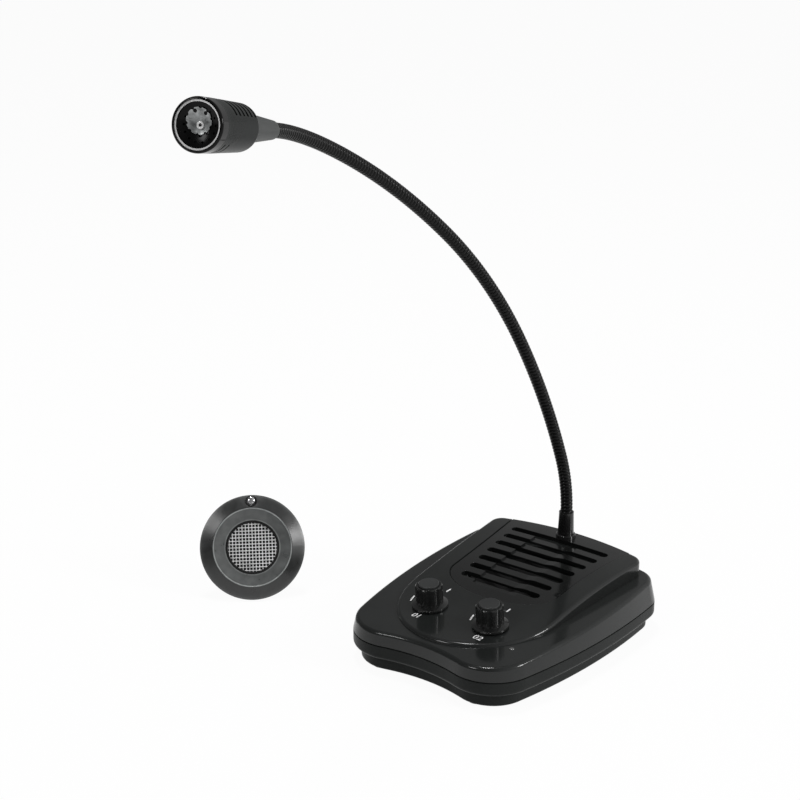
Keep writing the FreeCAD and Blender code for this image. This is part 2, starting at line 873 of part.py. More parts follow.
def speaker_frame():
    """Pressed basket with a flange, six windows and a bottom plate."""
    low = -frame_thickness
    floor = low - basket_depth
    basket = turned([
        (speaker_radius, 0),
        (speaker_radius, low),
        (frame_step + frame_thickness, low),
        (basket_radius + frame_thickness, floor),
        (pole_radius, floor),
        (pole_radius, floor + frame_thickness),
        (basket_radius, floor + frame_thickness),
        (frame_step, 0),
    ])
    window = sector(basket_radius + basket_window_rim, frame_step - basket_window_rim / 2,
                    floor - overrun, 0, -basket_window_angle / 2, basket_window_angle)
    basket = basket.cut(ring_of(window, basket_window_count))
    holes = [rod(small_screw_radius + screw_clearance, low - overrun, overrun, x, y - speaker_y)
             for x, y in speaker_screw_places()]
    return at_speaker(basket.cut(holes))


def speaker_cone():
    """Paper cone with a rolled surround and a domed dust cap."""
    inner = cone_rim - surround_width
    slope = cone_depth / (inner - cone_throat)
    mid = (cone_rim + inner) / 2
    flat = cone_rim_height
    cone = turned([
        (cone_rim, 0),
        (cone_rim, flat),
        (mid + surround_width / 4, surround_height),
        (mid - surround_width / 4, surround_height),
        (inner, flat),
        (cone_throat, flat - slope * (inner - cone_throat)),
        (cone_throat, flat - slope * (inner - cone_throat) - cone_paper),
        (inner, flat - cone_paper),
        (mid - surround_width / 4, surround_height - cone_paper),
        (mid + surround_width / 4, surround_height - cone_paper),
        (frame_step + frame_thickness / 2, 0),
    ])
    bed = flat - cone_depth
    top = bed + dust_cap_height
    radius = (cone_throat ** 2 + dust_cap_height ** 2) / (2 * dust_cap_height)
    dome = Part.makeSphere(radius, Vector(0, 0, top - radius))
    dome = dome.common(rod(cone_throat, bed - cone_paper, top))
    return at_speaker(cone.fuse(dome))


def speaker_magnet():
    """Ring magnet with its back plate and pole."""
    top = -frame_thickness - basket_depth
    magnet = rod(magnet_radius, top - magnet_height, top)
    pole = rod(pole_radius - fit_clearance, top, top + 2 * frame_thickness)
    return at_speaker(magnet.fuse(pole))


def speaker_screws():
    screws = []
    low = speaker_seat - frame_thickness
    for x, y in speaker_screw_places():
        head = rod(small_head_radius, low - small_head_height, low, x, y)
        shank = rod(small_screw_radius, low, speaker_seat + small_screw_reach - overrun, x, y)
        screws.append(head.fuse(shank))
    return Part.makeCompound(screws)


# Main board


def main_board():
    top = board_bottom + board_thickness
    board = box_between(Vector(-board_half, -board_front_y, board_bottom),
                        Vector(board_half, -board_rear_y, top))
    holes = [rod(small_screw_radius + screw_clearance, board_bottom - overrun, top + overrun, x, y)
             for x, y in post_places]
    return board.cut(holes)


def board_parts():
    """Capacitors, driver chip, finned heat sink and wire connector."""
    top = board_bottom + board_thickness
    pieces = []
    first = -capacitor_pitch * (capacitor_count - 1) / 2
    for k in range(capacitor_count):
        x = first + k * capacitor_pitch
        pieces.append(rod(capacitor_radius, top, top + capacitor_height, x, -capacitor_y))
    half = chip_size / 2
    pieces.append(box_between(Vector(-half, -chip_y - half, top),
                              Vector(half, -chip_y + half, top + chip_height)))
    sink = box_between(Vector(-sink_length / 2, -sink_y - sink_width / 2, top),
                       Vector(sink_length / 2, -sink_y + sink_width / 2, top + sink_height))
    pitch = sink_length / fin_count
    fin_top = top + sink_height + overrun
    for k in range(1, fin_count):
        x = -sink_length / 2 + k * pitch
        sink = sink.cut(box_between(Vector(x - fin_slot / 2, -sink_y - sink_width, top + sink_base),
                                    Vector(x + fin_slot / 2, -sink_y + sink_width, fin_top)))
    pieces.append(sink)
    outer = post_x - small_head_radius - connector_clearance
    half_y = connector_width / 2
    low = Vector(-outer, -sink_y - half_y, top)
    high = Vector(-sink_length / 2 - connector_gap, -sink_y + half_y, top + connector_height)
    rim = Vector(connector_wall, connector_wall, connector_wall)
    well = box_between(low + rim, high - rim + Vector(0, 0, overrun + connector_wall))
    pieces.append(box_between(low, high).cut(well))
    return Part.makeCompound(pieces)


def board_screws():
    top = board_bottom + board_thickness
    screws = []
    for x, y in post_places:
        head = rod(small_head_radius, top, top + small_head_height, x, y)
        shank = rod(small_screw_radius, board_bottom - small_screw_reach, top, x, y)
        screws.append(head.fuse(shank))
    return Part.makeCompound(screws)


# Volume knobs


def pot_bodies():
    """Two potentiometers: round can, threaded bushing and shaft bore."""
    bushing = shaft_radius + shaft_clearance + bushing_wall
    can = rod(pot_radius, -pot_seat - pot_depth, -pot_seat)
    pot = can.fuse(rod(bushing, -pot_seat, bushing_proud))
    pot = pot.cut(rod(shaft_radius + shaft_clearance, -pot_seat - pot_bore_depth, bushing_proud + overrun))
    return Part.makeCompound([placed(pot, frame) for frame in knob_frames])


def pot_nuts():
    bushing = shaft_radius + shaft_clearance + bushing_wall + thread_clearance
    nut = hexagon(nut_flat, -spot_depth, nut_height - spot_depth)
    nut = nut.cut(rod(bushing, -spot_depth - overrun, nut_height + overrun))
    return Part.makeCompound([placed(nut, frame) for frame in knob_frames])


def shaft_bar(radius):
    """Round shaft with a flat on its upper end."""
    shaft = rod(radius, -pot_seat - pot_bore_depth + overrun, shaft_top)
    side = radius - shaft_flat
    flat = box_between(Vector(-radius, side, shaft_top - shaft_flat_length),
                       Vector(radius, radius + overrun, shaft_top + overrun))
    return shaft.cut(flat)


def knob_body():
    """Fluted knob with a flange, a groove round its cap and a hollow underside."""
    base = knob_gap
    top = base + knob_height
    core = rod(knob_radius, base, top)
    core = core.makeChamfer(knob_chamfer, rim_edges(core, top))
    flute_place = knob_radius + flute_radius - flute_depth
    flute = rod(flute_radius, base + flange_height, top + overrun, flute_place, 0)
    core = core.cut(ring_of(flute, flute_count, 180 / flute_count))
    flange = turned([
        (0, base),
        (flange_radius, base),
        (flange_radius, base + flange_edge),
        (knob_radius, base + flange_height),
        (0, base + flange_height),
    ])
    knob = core.fuse(flange)
    seat = top - cap_depth
    cuts = [
        rod(cap_radius, top - cap_groove_depth, top + overrun),
        rod(cap_radius - cap_groove, seat, top),
        rod(knob_hollow_radius, base - overrun, base + knob_hollow_height),
        shaft_bar(shaft_radius + shaft_bore_clearance),
    ]
    return knob.cut(cuts)


def knob_cap():
    """Flat cap that stands proud of the knob, on a spigot."""
    top = knob_gap + knob_height
    cap = rod(cap_radius - cap_groove, top - cap_depth, top + cap_proud)
    return cap.makeChamfer(cap_chamfer, rim_edges(cap, top + cap_proud))


# Rear sockets


def rear_frame(x):
    """Frame at a socket, with its axis pointing to the rear."""
    return FreeCAD.Placement(Vector(x, rear_face_y, socket_height), FreeCAD.Rotation(Vector(1, 0, 0), -90))


def dc_inlet():
    low = -rear_face_thickness
    half = power_body / 2
    body = box_between(Vector(-half, -half, low - power_body_depth), Vector(half, half, low))
    nose = rod(power_radius, low, 0)
    inlet = body.fuse(nose).cut(rod(power_bore, -power_bore_depth, overrun))
    inlet = inlet.fuse(rod(power_pin, -power_bore_depth, -power_pin_sink))
    return placed(inlet, rear_frame(power_x))


def jack_shape(through, proud):
    """Round 3.5 mm socket with a square body behind the wall that it goes through."""
    low = -through
    half = jack_body / 2
    body = box_between(Vector(-half, -half, low - jack_body_depth), Vector(half, half, low))
    nose = rod(jack_radius, low, proud)
    return body.fuse(nose).cut(rod(jack_bore, proud - jack_bore_depth, proud + overrun))


def desk_jack(x):
    return placed(jack_shape(rear_face_thickness, jack_proud), rear_frame(x))


def rocker_frame():
    """Snap-in switch frame with a round well for the rocker."""
    rim = box_between(Vector(-switch_length / 2, -switch_height / 2, 0),
                      Vector(switch_length / 2, switch_height / 2, switch_rim))
    body = box_between(Vector(-switch_body_length / 2, -switch_body_height / 2, -switch_depth),
                       Vector(switch_body_length / 2, switch_body_height / 2, 0))
    well_radius = rocker_radius + rocker_clearance
    half = rocker_width / 2 + rocker_clearance
    well = Part.makeCylinder(well_radius, 2 * half, Vector(0, -half, -rocker_pivot), Vector(0, 1, 0))
    mouth = box_between(Vector(-well_radius, -half, -rocker_pivot),
                        Vector(well_radius, half, switch_rim + overrun))
    return placed(rim.fuse(body).cut([well, mouth]), rear_frame(switch_x))


def rocker():
    """Rocker with a shallow V face, at rest on one side."""
    disc = Part.makeCylinder(rocker_radius, rocker_width, Vector(0, -rocker_width / 2, 0), Vector(0, 1, 0))
    tip = rocker_valley + rocker_radius * tan(rocker_slope)
    corners = [
        Vector(-rocker_radius, -rocker_width, tip),
        Vector(0, -rocker_width, rocker_valley),
        Vector(rocker_radius, -rocker_width, tip),
        Vector(rocker_radius, -rocker_width, tip + rocker_radius),
        Vector(-rocker_radius, -rocker_width, tip + rocker_radius),
    ]
    face = Part.Face(Part.makePolygon(corners + corners[:1]))
    shape = disc.cut(face.extrude(Vector(0, 2 * rocker_width, 0)))
    shape.rotate(Vector(0, 0, 0), Vector(0, 1, 0), rocker_throw)
    return placed(shifted(shape, 0, 0, -rocker_pivot), rear_frame(switch_x))


# Gooseneck


def neck_frames():
    """Start point, tangent and normal of each arc, and of the end."""
    point = Vector(0, neck_y, neck_top)
    tangent = Vector(0, 0, 1)
    normal = Vector(sin(neck_turns[0]), -cos(neck_turns[0]), 0)
    frames = []
    for k, (length, bend) in enumerate(zip(neck_lengths, neck_bends)):
        if k:
            turn = neck_turns[k]
            normal = normal * cos(turn) + tangent.cross(normal) * sin(turn)
        frames.append((point, tangent, normal))
        radius = length / math.radians(bend)
        point = point + tangent * (radius * sin(bend)) + normal * (radius * (1 - cos(bend)))
        tangent, normal = tangent * cos(bend) + normal * sin(bend), normal * cos(bend) - tangent * sin(bend)
    frames.append((point, tangent, normal))
    return frames


neck_places = neck_frames()


def neck_arc(k, start):
    """Round bar along one arc, from a length past its start."""
    point, tangent, normal = neck_places[k]
    radius = neck_lengths[k] / math.radians(neck_bends[k])
    skip = math.degrees(start / radius)
    disc = Part.Face(Part.Wire(Part.makeCircle(neck_radius, point, tangent)))
    centre = point + normal * radius
    axis = tangent.cross(normal)
    disc.rotate(centre, axis, skip)
    return disc.revolve(centre, axis, neck_bends[k] - skip)


def neck_section(k):
    """One stretch: a cup over the ball below it, and a ball at its upper end."""
    if k == 0:
        bar = neck_arc(0, 0).fuse(rod(neck_radius, neck_top - neck_socket, neck_top, 0, neck_y))
    else:
        cup = Part.makeSphere(neck_radius + cup_clearance, neck_places[k][0])
        bar = neck_arc(k, neck_radius * tan(neck_swing) + cup_gap).cut(cup)
    if k < len(neck_lengths) - 1:
        ball = Part.makeSphere(neck_radius, neck_places[k + 1][0])
        return bar.fuse(ball)
    end, tangent, _ = neck_places[k + 1]
    return bar.fuse(Part.makeCylinder(neck_radius, neck_tail + boot_bore_depth, end, tangent))


def neck_nut():
    """Round nut that clamps the collar to the panel."""
    nut = rod(ring_nut_radius, neck_seat, collar_foot, 0, neck_y)
    nut = nut.makeFillet(ring_nut_round, rim_edges(nut, collar_foot))
    return nut.cut(rod(stem_radius + stem_clearance, neck_seat - overrun, collar_foot + overrun, 0, neck_y))


def neck_collar():
    """Tapered collar with its stem through the panel and a bore for the neck."""
    tail = lock_seat - lock_nut_height - stem_tail
    foot = Vector(0, neck_y, collar_foot)
    cone = Part.makeCone(collar_foot_radius, collar_top_radius, collar_height, foot)
    collar = cone.fuse(rod(stem_radius, tail, collar_foot, 0, neck_y))
    bore = rod(neck_radius + neck_clearance, neck_top - neck_socket, neck_top + overrun, 0, neck_y)
    return collar.cut([bore, rod(wire_bore, tail - overrun, neck_top, 0, neck_y)])


def neck_lock_nut():
    low = lock_seat - lock_nut_height
    nut = shifted(hexagon(lock_nut_flat, low, lock_seat), 0, neck_y, 0)
    return nut.cut(rod(stem_radius + stem_clearance, low - overrun, lock_seat + overrun, 0, neck_y))


# Microphone head


def head_frame():
    """Frame at the end of the neck: Z along it, Y as upright as it can be."""
    point, tangent, _ = neck_places[-1]
    side = Vector(0, 0, 1).cross(tangent).normalize()
    return FreeCAD.Placement(point, FreeCAD.Rotation(side, tangent.cross(side), tangent, "ZYX"))


head_place = head_frame()
boot_end = neck_tail + boot_length
shell_start = boot_end + boot_flange
shell_end = shell_start + head_length


def head_boot():
    """Tapered sleeve over the end of the neck, with a flange and a spigot."""
    spigot_end = shell_start + boot_spigot
    boot = turned([
        (0, neck_tail),
        (boot_rear_radius, neck_tail),
        (boot_front_radius, boot_end),
        (boot_flange_radius, boot_end),
        (boot_flange_radius, shell_start),
        (boot_spigot_radius, shell_start),
        (boot_spigot_radius, spigot_end),
        (0, spigot_end),
    ])
    bores = [rod(neck_radius + neck_clearance, neck_tail - overrun, neck_tail + boot_bore_depth),
             rod(wire_bore, neck_tail, spigot_end + overrun)]
    return placed(boot.cut(bores), head_place)


def head_solid(inset):
    """Round-shouldered body that widens to the front, drawn in by an inset."""
    low = shell_start + inset
    body = Part.makeCone(head_rear_radius - inset, head_radius - inset, head_length, Vector(0, 0, low))
    return body.makeFillet(head_shoulder - inset, rim_edges(body, low))


def head_slot(place, width, middle, angle):
    """Slot round part of the head, centred at a place along it."""
    return sector(head_rear_radius / 2, head_radius + overrun, place - width / 2, place + width / 2,
                  middle - angle / 2, angle)


def head_shell():
    """Hollow head with slots over its top and two fine ones under its front."""
    shell = head_solid(0).cut(head_solid(head_wall))
    socket = boot_spigot_radius + head_clearance
    shell = shell.cut(rod(socket, shell_start - overrun, shell_start + boot_spigot))
    for k in range(head_slot_count):
        place = shell_start + head_slot_first + k * head_slot_pitch
        shell = shell.cut(head_slot(place, head_slot_width, 90, head_slot_angle))
    for k in range(under_slot_count):
        place = shell_end - under_slot_first - k * head_slot_pitch
        shell = shell.cut(head_slot(place, under_slot_width, 270, under_slot_angle))
    return placed(shell, head_place)


bezel_bore = head_radius - bezel_wall
bezel_end = shell_end + bezel_length
dish_low = shell_end + bezel_seat
dish_top = dish_low + dish_rim_height


def head_bezel():
    """Front ring with a spigot into the shell and a seat for the dish."""
    slope = (head_radius - head_rear_radius) / head_length
    spigot = head_radius - head_wall - slope * (head_wall + bezel_spigot) - head_clearance
    seat = bezel_bore - bezel_seat_width
    ring = turned([
        (seat, shell_end - bezel_spigot),
        (spigot, shell_end - bezel_spigot),
        (spigot, shell_end),
        (head_radius, shell_end),
        (head_radius, bezel_end),
        (bezel_bore, bezel_end),
        (bezel_bore, dish_low),
        (seat, dish_low),
    ])
    outer = [e for e in rim_edges(ring, bezel_end) if e.BoundBox.XMax > head_radius - head_clearance]
    return placed(ring.makeFillet(bezel_wall - head_clearance, outer), head_place)


def head_ring():
    """Bright ring on the rim of the dish."""
    outer = bezel_bore - head_clearance
    ring = tube(outer, outer - dish_rim, dish_top, dish_top + bright_ring_height)
    return placed(ring, head_place)


def head_dish():
    """Hollow-faced grille with two rings of holes and a ferrule at its centre."""
    outer = bezel_bore - head_clearance
    bowl = outer - dish_rim
    radius = (bowl ** 2 + dish_depth ** 2) / (2 * dish_depth)
    centre = Vector(0, 0, dish_top - dish_depth + radius)
    dish = rod(outer, dish_low, dish_top).cut(Part.makeSphere(radius, centre))
    behind = rod(bowl, dish_low - overrun, dish_top)
    behind = behind.cut(Part.makeSphere(radius + dish_paper, centre))
    behind = behind.common(rod(bowl, dish_low - overrun, dish_top - dish_depth + dish_paper))
    dish = dish.cut(behind)
    bed = dish_top - dish_depth
    ferrule = rod(ferrule_radius, bed - dish_paper / 2, bed + ferrule_proud)
    dish = dish.fuse(ferrule)
    low = dish_low - overrun
    holes = ring_of(rod(dish_hole, low, dish_top, dish_hole_place, 0), dish_hole_count)
    holes += ring_of(rod(dish_fine_hole, low, dish_top, dish_fine_place, 0), dish_fine_count)
    holes.append(rod(ferrule_bore, low, dish_top + overrun))
    return placed(dish.cut(holes), head_place)


capsule_top = dish_top - dish_depth - dish_paper - capsule_gap


def mic_capsule():
    return placed(rod(capsule_radius, capsule_top - capsule_length, capsule_top), head_place)


def capsule_holder():
    """Hub with three arms that grip the bezel's spigot."""
    low = shell_end - bezel_spigot
    high = low + holder_length
    reach = bezel_bore - bezel_seat_width - head_clearance
    arm = box_between(Vector(0, -holder_arm / 2, low), Vector(reach + overrun, holder_arm / 2, high))
    holder = rod(holder_hub, low, high).fuse(ring_of(arm, holder_arm_count, 90))
    holder = holder.common(rod(reach, low, high))
    grip = rod(capsule_radius + head_clearance, low - overrun, high + overrun)
    return placed(holder.cut(grip), head_place)


# Outside station


def station_frame():
    """The station leans on its rim and on the rear edge of its housing."""
    lean = math.degrees(math.atan((station_radius - housing_radius) / (housing_depth - station_rim_back)))
    normal = Vector(sin(station_turn) * cos(lean), -cos(station_turn) * cos(lean), sin(lean))
    side = Vector(0, 0, 1).cross(normal).normalize()
    up = normal.cross(side)
    foot = Vector(station_x, station_y, 0)
    centre = foot + up * station_radius + normal * station_rim_back
    return FreeCAD.Placement(centre, FreeCAD.Rotation(side, up, normal, "ZYX"))


station_place = station_frame()


def station_flange():
    """Bevelled front plate with a funnel, a sleeve, a screw pocket and its lug."""
    step = step_radius - crest_slope
    inner = step - crest_width
    back = -plate_back
    plate = turned([
        (station_radius, -station_rim_back),
        (station_radius, -station_rim_front),
        (step_radius, -step_depth),
        (step, 0),
        (inner, 0),
        (inner - crest_slope, -step_depth),
        (funnel_radius, -funnel_depth),
        (mouth_radius, -funnel_depth),
        (mouth_radius, -mouth_depth),
        (mesh_radius + mesh_bore_clearance, -mouth_depth),
        (mesh_radius + mesh_bore_clearance, -sleeve_back),
        (sleeve_radius, -sleeve_back),
        (sleeve_radius, back),
        (step_radius, back),
        (station_radius - station_rim_wall, -station_rim_back),
    ])
    lug = rod(lug_radius, -lug_back, -screw_pocket_depth, 0, station_screw_place)
    pocket = rod(screw_pocket, -screw_pocket_depth, overrun, 0, station_screw_place)
    hole = rod(station_screw_dome, -lug_back, 0, 0, station_screw_place)
    floor = rod(screw_pocket, -station_rim_back, -screw_pocket_depth, 0, station_screw_place)
    floor = floor.common(rod(station_radius, -station_rim_back, 0))
    return placed(plate.fuse([floor, lug]).cut([pocket, hole]), station_place)


def station_mesh():
    """Flat mesh: one round sheet with square holes."""
    top = -mouth_depth
    outline = Part.Wire(Part.makeCircle(mesh_radius, Vector(0, 0, top)))
    reach = int(mesh_field / mesh_pitch)
    half = mesh_hole / 2
    holes = []
    for i in range(-reach, reach + 1):
        for j in range(-reach, reach + 1):
            x, y = i * mesh_pitch, j * mesh_pitch
            if math.hypot(abs(x) + half, abs(y) + half) > mesh_field:
                continue
            holes.append(Part.makePolygon([
                Vector(x - half, y - half, top),
                Vector(x - half, y + half, top),
                Vector(x + half, y + half, top),
                Vector(x + half, y - half, top),
                Vector(x - half, y - half, top),
            ]))
    sheet = Part.Face([outline] + holes)
    return placed(sheet.extrude(Vector(0, 0, -mesh_thickness)), station_place)


def station_housing():
    """Round cup behind the plate, with a hole for its socket."""
    cup = turned([
        (0, -housing_depth),
        (housing_radius, -housing_depth),
        (housing_radius, -plate_back),
        (housing_radius - housing_wall, -plate_back),
        (housing_radius - housing_wall, housing_wall - housing_depth),
        (0, housing_wall - housing_depth),
    ])
    hole = rod(jack_radius + fit_clearance, -housing_depth - overrun, 2 * housing_wall - housing_depth,
               0, -station_jack_drop)
    return placed(cup.cut(hole), station_place)


def station_unit():
    """Small loudspeaker unit clamped behind the mesh."""
    rim = -mouth_depth - mesh_thickness
    base = rim - unit_basket_depth
    unit = turned([
        (mesh_radius, rim),
        (mesh_radius, rim - unit_rim),
        (unit_basket_radius, rim - unit_rim),
        (unit_magnet_radius + unit_rim, base),
        (unit_magnet_radius, base),
        (unit_magnet_radius, base - unit_magnet_height),
        (0, base - unit_magnet_height),
        (0, rim - unit_cone_depth),
        (unit_magnet_radius / 2, rim - unit_cone_depth),
        (unit_basket_radius, rim - unit_paper),
        (unit_basket_radius, rim),
    ])
    return placed(unit, station_place)


def station_screw():
    """Pan-head screw that fixes the housing through the plate's lug."""
    seat = -screw_pocket_depth
    head = turned([
        (0, seat),
        (station_screw_head, seat),
        (station_screw_head, seat + station_screw_dome / 2),
        (station_screw_head / 2, seat + station_screw_dome),
        (0, seat + station_screw_dome),
    ])
    shank = rod(station_screw_dome - thread_clearance, seat - station_screw_length, seat)
    return placed(shifted(head.fuse(shank), 0, station_screw_place, 0), station_place)


def station_jack():
    """Socket in the back of the housing, its axis pointing to the rear."""
    jack = jack_shape(housing_wall, -jack_sink)
    jack.rotate(Vector(0, 0, 0), Vector(1, 0, 0), 180)
    return placed(shifted(jack, 0, -station_jack_drop, -housing_depth), station_place)


os.makedirs("parts", exist_ok=True)

save("lower_shell", lower_shell())
save("upper_shell", upper_shell())
save("grille_panel", grille_panel())
save("rubber_feet", rubber_feet())
save("case_screws", case_screws())
save("ballast_plate", ballast_plate())
save("led_lens", led_lens())
save("speaker_frame", speaker_frame())
save("speaker_cone", speaker_cone())
save("speaker_magnet", speaker_magnet())
save("speaker_screws", speaker_screws())
save("main_board", main_board())
save("board_parts", board_parts())
save("board_screws", board_screws())
save("pot_bodies", pot_bodies())
save("pot_nuts", pot_nuts())
for number, frame in enumerate(knob_frames, 1):
    save("knob_%d_body" % number, placed(knob_body(), frame))
    save("knob_%d_cap" % number, placed(knob_cap(), frame))
    save("knob_%d_shaft" % number, placed(shaft_bar(shaft_radius), frame))
save("dc_inlet", dc_inlet())
save("station_socket", desk_jack(station_socket_x))
save("line_socket", desk_jack(line_socket_x))
save("rocker_frame", rocker_frame())
save("rocker", rocker())
save("neck_nut", neck_nut())
save("neck_collar", neck_collar())
save("neck_lock_nut", neck_lock_nut())
for section in range(len(neck_lengths)):
    save("neck_section_%d" % (section + 1), neck_section(section))
save("head_boot", head_boot())
save("head_shell", head_shell())
save("head_bezel", head_bezel())
save("head_ring", head_ring())
save("head_dish", head_dish())
save("mic_capsule", mic_capsule())
save("capsule_holder", capsule_holder())
save("station_flange", station_flange())
save("station_mesh", station_mesh())
save("station_housing", station_housing())
save("station_unit", station_unit())
save("station_screw", station_screw())
save("station_jack", station_jack())
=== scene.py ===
import math
import bpy
from mathutils import Matrix, Vector


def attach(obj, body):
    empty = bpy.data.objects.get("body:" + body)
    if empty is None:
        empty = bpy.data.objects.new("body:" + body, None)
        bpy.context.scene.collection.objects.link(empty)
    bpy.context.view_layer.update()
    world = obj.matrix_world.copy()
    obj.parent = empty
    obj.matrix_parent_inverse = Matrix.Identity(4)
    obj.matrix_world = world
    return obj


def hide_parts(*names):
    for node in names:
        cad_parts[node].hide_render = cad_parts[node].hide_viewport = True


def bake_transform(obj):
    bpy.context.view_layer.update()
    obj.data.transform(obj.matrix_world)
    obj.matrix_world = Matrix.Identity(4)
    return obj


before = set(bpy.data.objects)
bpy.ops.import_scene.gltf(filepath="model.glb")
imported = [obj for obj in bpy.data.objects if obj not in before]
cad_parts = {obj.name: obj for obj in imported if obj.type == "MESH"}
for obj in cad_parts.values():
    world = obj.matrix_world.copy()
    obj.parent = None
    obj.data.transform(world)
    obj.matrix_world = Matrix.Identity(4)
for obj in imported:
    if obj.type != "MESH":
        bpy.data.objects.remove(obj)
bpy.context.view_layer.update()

mm = 0.001


# small helpers

def nothingPicked():
    if bpy.context.mode != "OBJECT":
        bpy.ops.object.mode_set(mode="OBJECT")
    bpy.ops.object.select_all(action="DESELECT")


def pick(piece):
    nothingPicked()
    piece.select_set(True)
    bpy.context.view_layer.objects.active = piece


def named(name):
    piece = bpy.context.object
    piece.name = name
    piece.data.name = name
    return piece


def applyModifier(piece, kind, settings):
    pick(piece)
    modifier = piece.modifiers.new(kind.title(), kind)
    for key, value in settings.items():
        setattr(modifier, key, value)
    bpy.ops.object.modifier_apply(modifier=modifier.name)


def settle(piece):
    # place, turn and scale go into the mesh
    pick(piece)
    bpy.ops.object.transform_apply(location=True, rotation=True, scale=True)


def copyOf(piece, name):
    twin = piece.copy()
    twin.data = piece.data.copy()
    twin.name = name
    twin.data.name = name
    bpy.context.scene.collection.objects.link(twin)
    return twin


def smooth(piece, angle):
    pick(piece)
    bpy.ops.object.shade_smooth_by_angle(angle=math.radians(angle))


# camera, floor and lamps

view = {"place": (549.29, -792.74, 486.88), "tilt": 71.2, "turn": 38.5, "lens": 75.6, "sensor": 36}
floorLook = {"half": 9.0, "tone": 0.86, "rough": 0.8, "shine": 0.1, "glow": 0.95}
studio = {"bright": (0.79, 0.59, -0.15), "from": -0.38, "to": 0.85, "dim": 0.17, "full": 0.76}
lamps = {
    "keyLamp": {"place": (1.5, 0.5, 0.8), "aim": (0, 0, 0.05), "size": (0.4, 0.4), "power": 13},
    "topLamp": {"place": (-0.35, 0.1, 1.8), "aim": (0, 0, 0), "size": (0.25, 0.25), "power": 14},
    "frontLamp": {"place": (-0.5, -1.5, 1.3), "aim": (-0.05, -0.1, 0.2), "size": (0.5, 0.5), "power": 7},
}


def setCamera():
    bpy.ops.object.camera_add(location=Vector(view["place"]) * mm,
                              rotation=(math.radians(view["tilt"]), 0, math.radians(view["turn"])))
    camera = named("camera")
    camera.data.lens = view["lens"]
    camera.data.sensor_width = view["sensor"]
    camera.data.clip_start = 0.01
    bpy.context.scene.camera = camera


def setFloor():
    bpy.ops.mesh.primitive_plane_add(size=2 * floorLook["half"], location=(0, 0, 0))
    floor = named("floor")
    material = bpy.data.materials.new("paleFloor")
    material.use_nodes = True
    tree = material.node_tree
    shader = tree.nodes["Principled BSDF"]
    tone = floorLook["tone"]
    shader.inputs["Base Color"].default_value = (tone, tone, tone, 1)
    shader.inputs["Roughness"].default_value = floorLook["rough"]
    shader.inputs["Specular IOR Level"].default_value = floorLook["shine"]
    path = tree.nodes.new("ShaderNodeLightPath")
    seen = tree.nodes.new("ShaderNodeMath")
    seen.operation = "MAXIMUM"
    clear = tree.nodes.new("ShaderNodeMath")
    clear.operation = "MAXIMUM"
    share = tree.nodes.new("ShaderNodeMath")
    share.operation = "MULTIPLY"
    share.inputs[1].default_value = floorLook["glow"]
    glow = tree.nodes.new("ShaderNodeEmission")
    mix = tree.nodes.new("ShaderNodeMixShader")
    tree.links.new(path.outputs["Is Camera Ray"], seen.inputs[0])
    tree.links.new(path.outputs["Is Glossy Ray"], seen.inputs[1])
    tree.links.new(seen.outputs[0], clear.inputs[0])
    tree.links.new(path.outputs["Is Transmission Ray"], clear.inputs[1])
    tree.links.new(clear.outputs[0], share.inputs[0])
    tree.links.new(share.outputs[0], mix.inputs[0])
    tree.links.new(shader.outputs[0], mix.inputs[1])
    tree.links.new(glow.outputs[0], mix.inputs[2])
    tree.links.new(mix.outputs[0], tree.nodes["Material Output"].inputs["Surface"])
    floor.data.materials.append(material)


def setWorld():
    # white where the camera looks; elsewhere a soft room, bright on the right and dim on the left
    world = bpy.data.worlds.new("studio")
    bpy.context.scene.world = world
    world.use_nodes = True
    tree = world.node_tree
    back = tree.nodes["Background"]
    back.inputs["Color"].default_value = (1, 1, 1, 1)
    place = tree.nodes.new("ShaderNodeTexCoord")
    side = tree.nodes.new("ShaderNodeVectorMath")
    side.operation = "DOT_PRODUCT"
    side.inputs[1].default_value = studio["bright"]
    room = tree.nodes.new("ShaderNodeMapRange")
    room.interpolation_type = "SMOOTHSTEP"
    room.inputs["From Min"].default_value = studio["from"]
    room.inputs["From Max"].default_value = studio["to"]
    room.inputs["To Min"].default_value = studio["dim"]
    room.inputs["To Max"].default_value = studio["full"]
    path = tree.nodes.new("ShaderNodeLightPath")
    seen = tree.nodes.new("ShaderNodeMix")
    seen.inputs["B"].default_value = 1
    tree.links.new(place.outputs["Generated"], side.inputs[0])
    tree.links.new(side.outputs["Value"], room.inputs["Value"])
    tree.links.new(path.outputs["Is Camera Ray"], seen.inputs["Factor"])
    tree.links.new(room.outputs["Result"], seen.inputs["A"])
    tree.links.new(seen.outputs["Result"], back.inputs["Strength"])


def setLamps():
    for name, lamp in lamps.items():
        bpy.ops.object.light_add(type="AREA", location=lamp["place"])
        light = named(name)
        light.data.shape = "RECTANGLE"
        light.data.size, light.data.size_y = lamp["size"]
        light.data.energy = lamp["power"]
        aim = Vector(lamp["aim"]) - Vector(lamp["place"])
        light.rotation_euler = aim.to_track_quat("-Z", "Y").to_euler()


setCamera()
setFloor()
setWorld()
setLamps()
bpy.context.scene.view_settings.view_transform = "Standard"
print("camera, floor and lamps set")


# gooseneck path: it also places the head

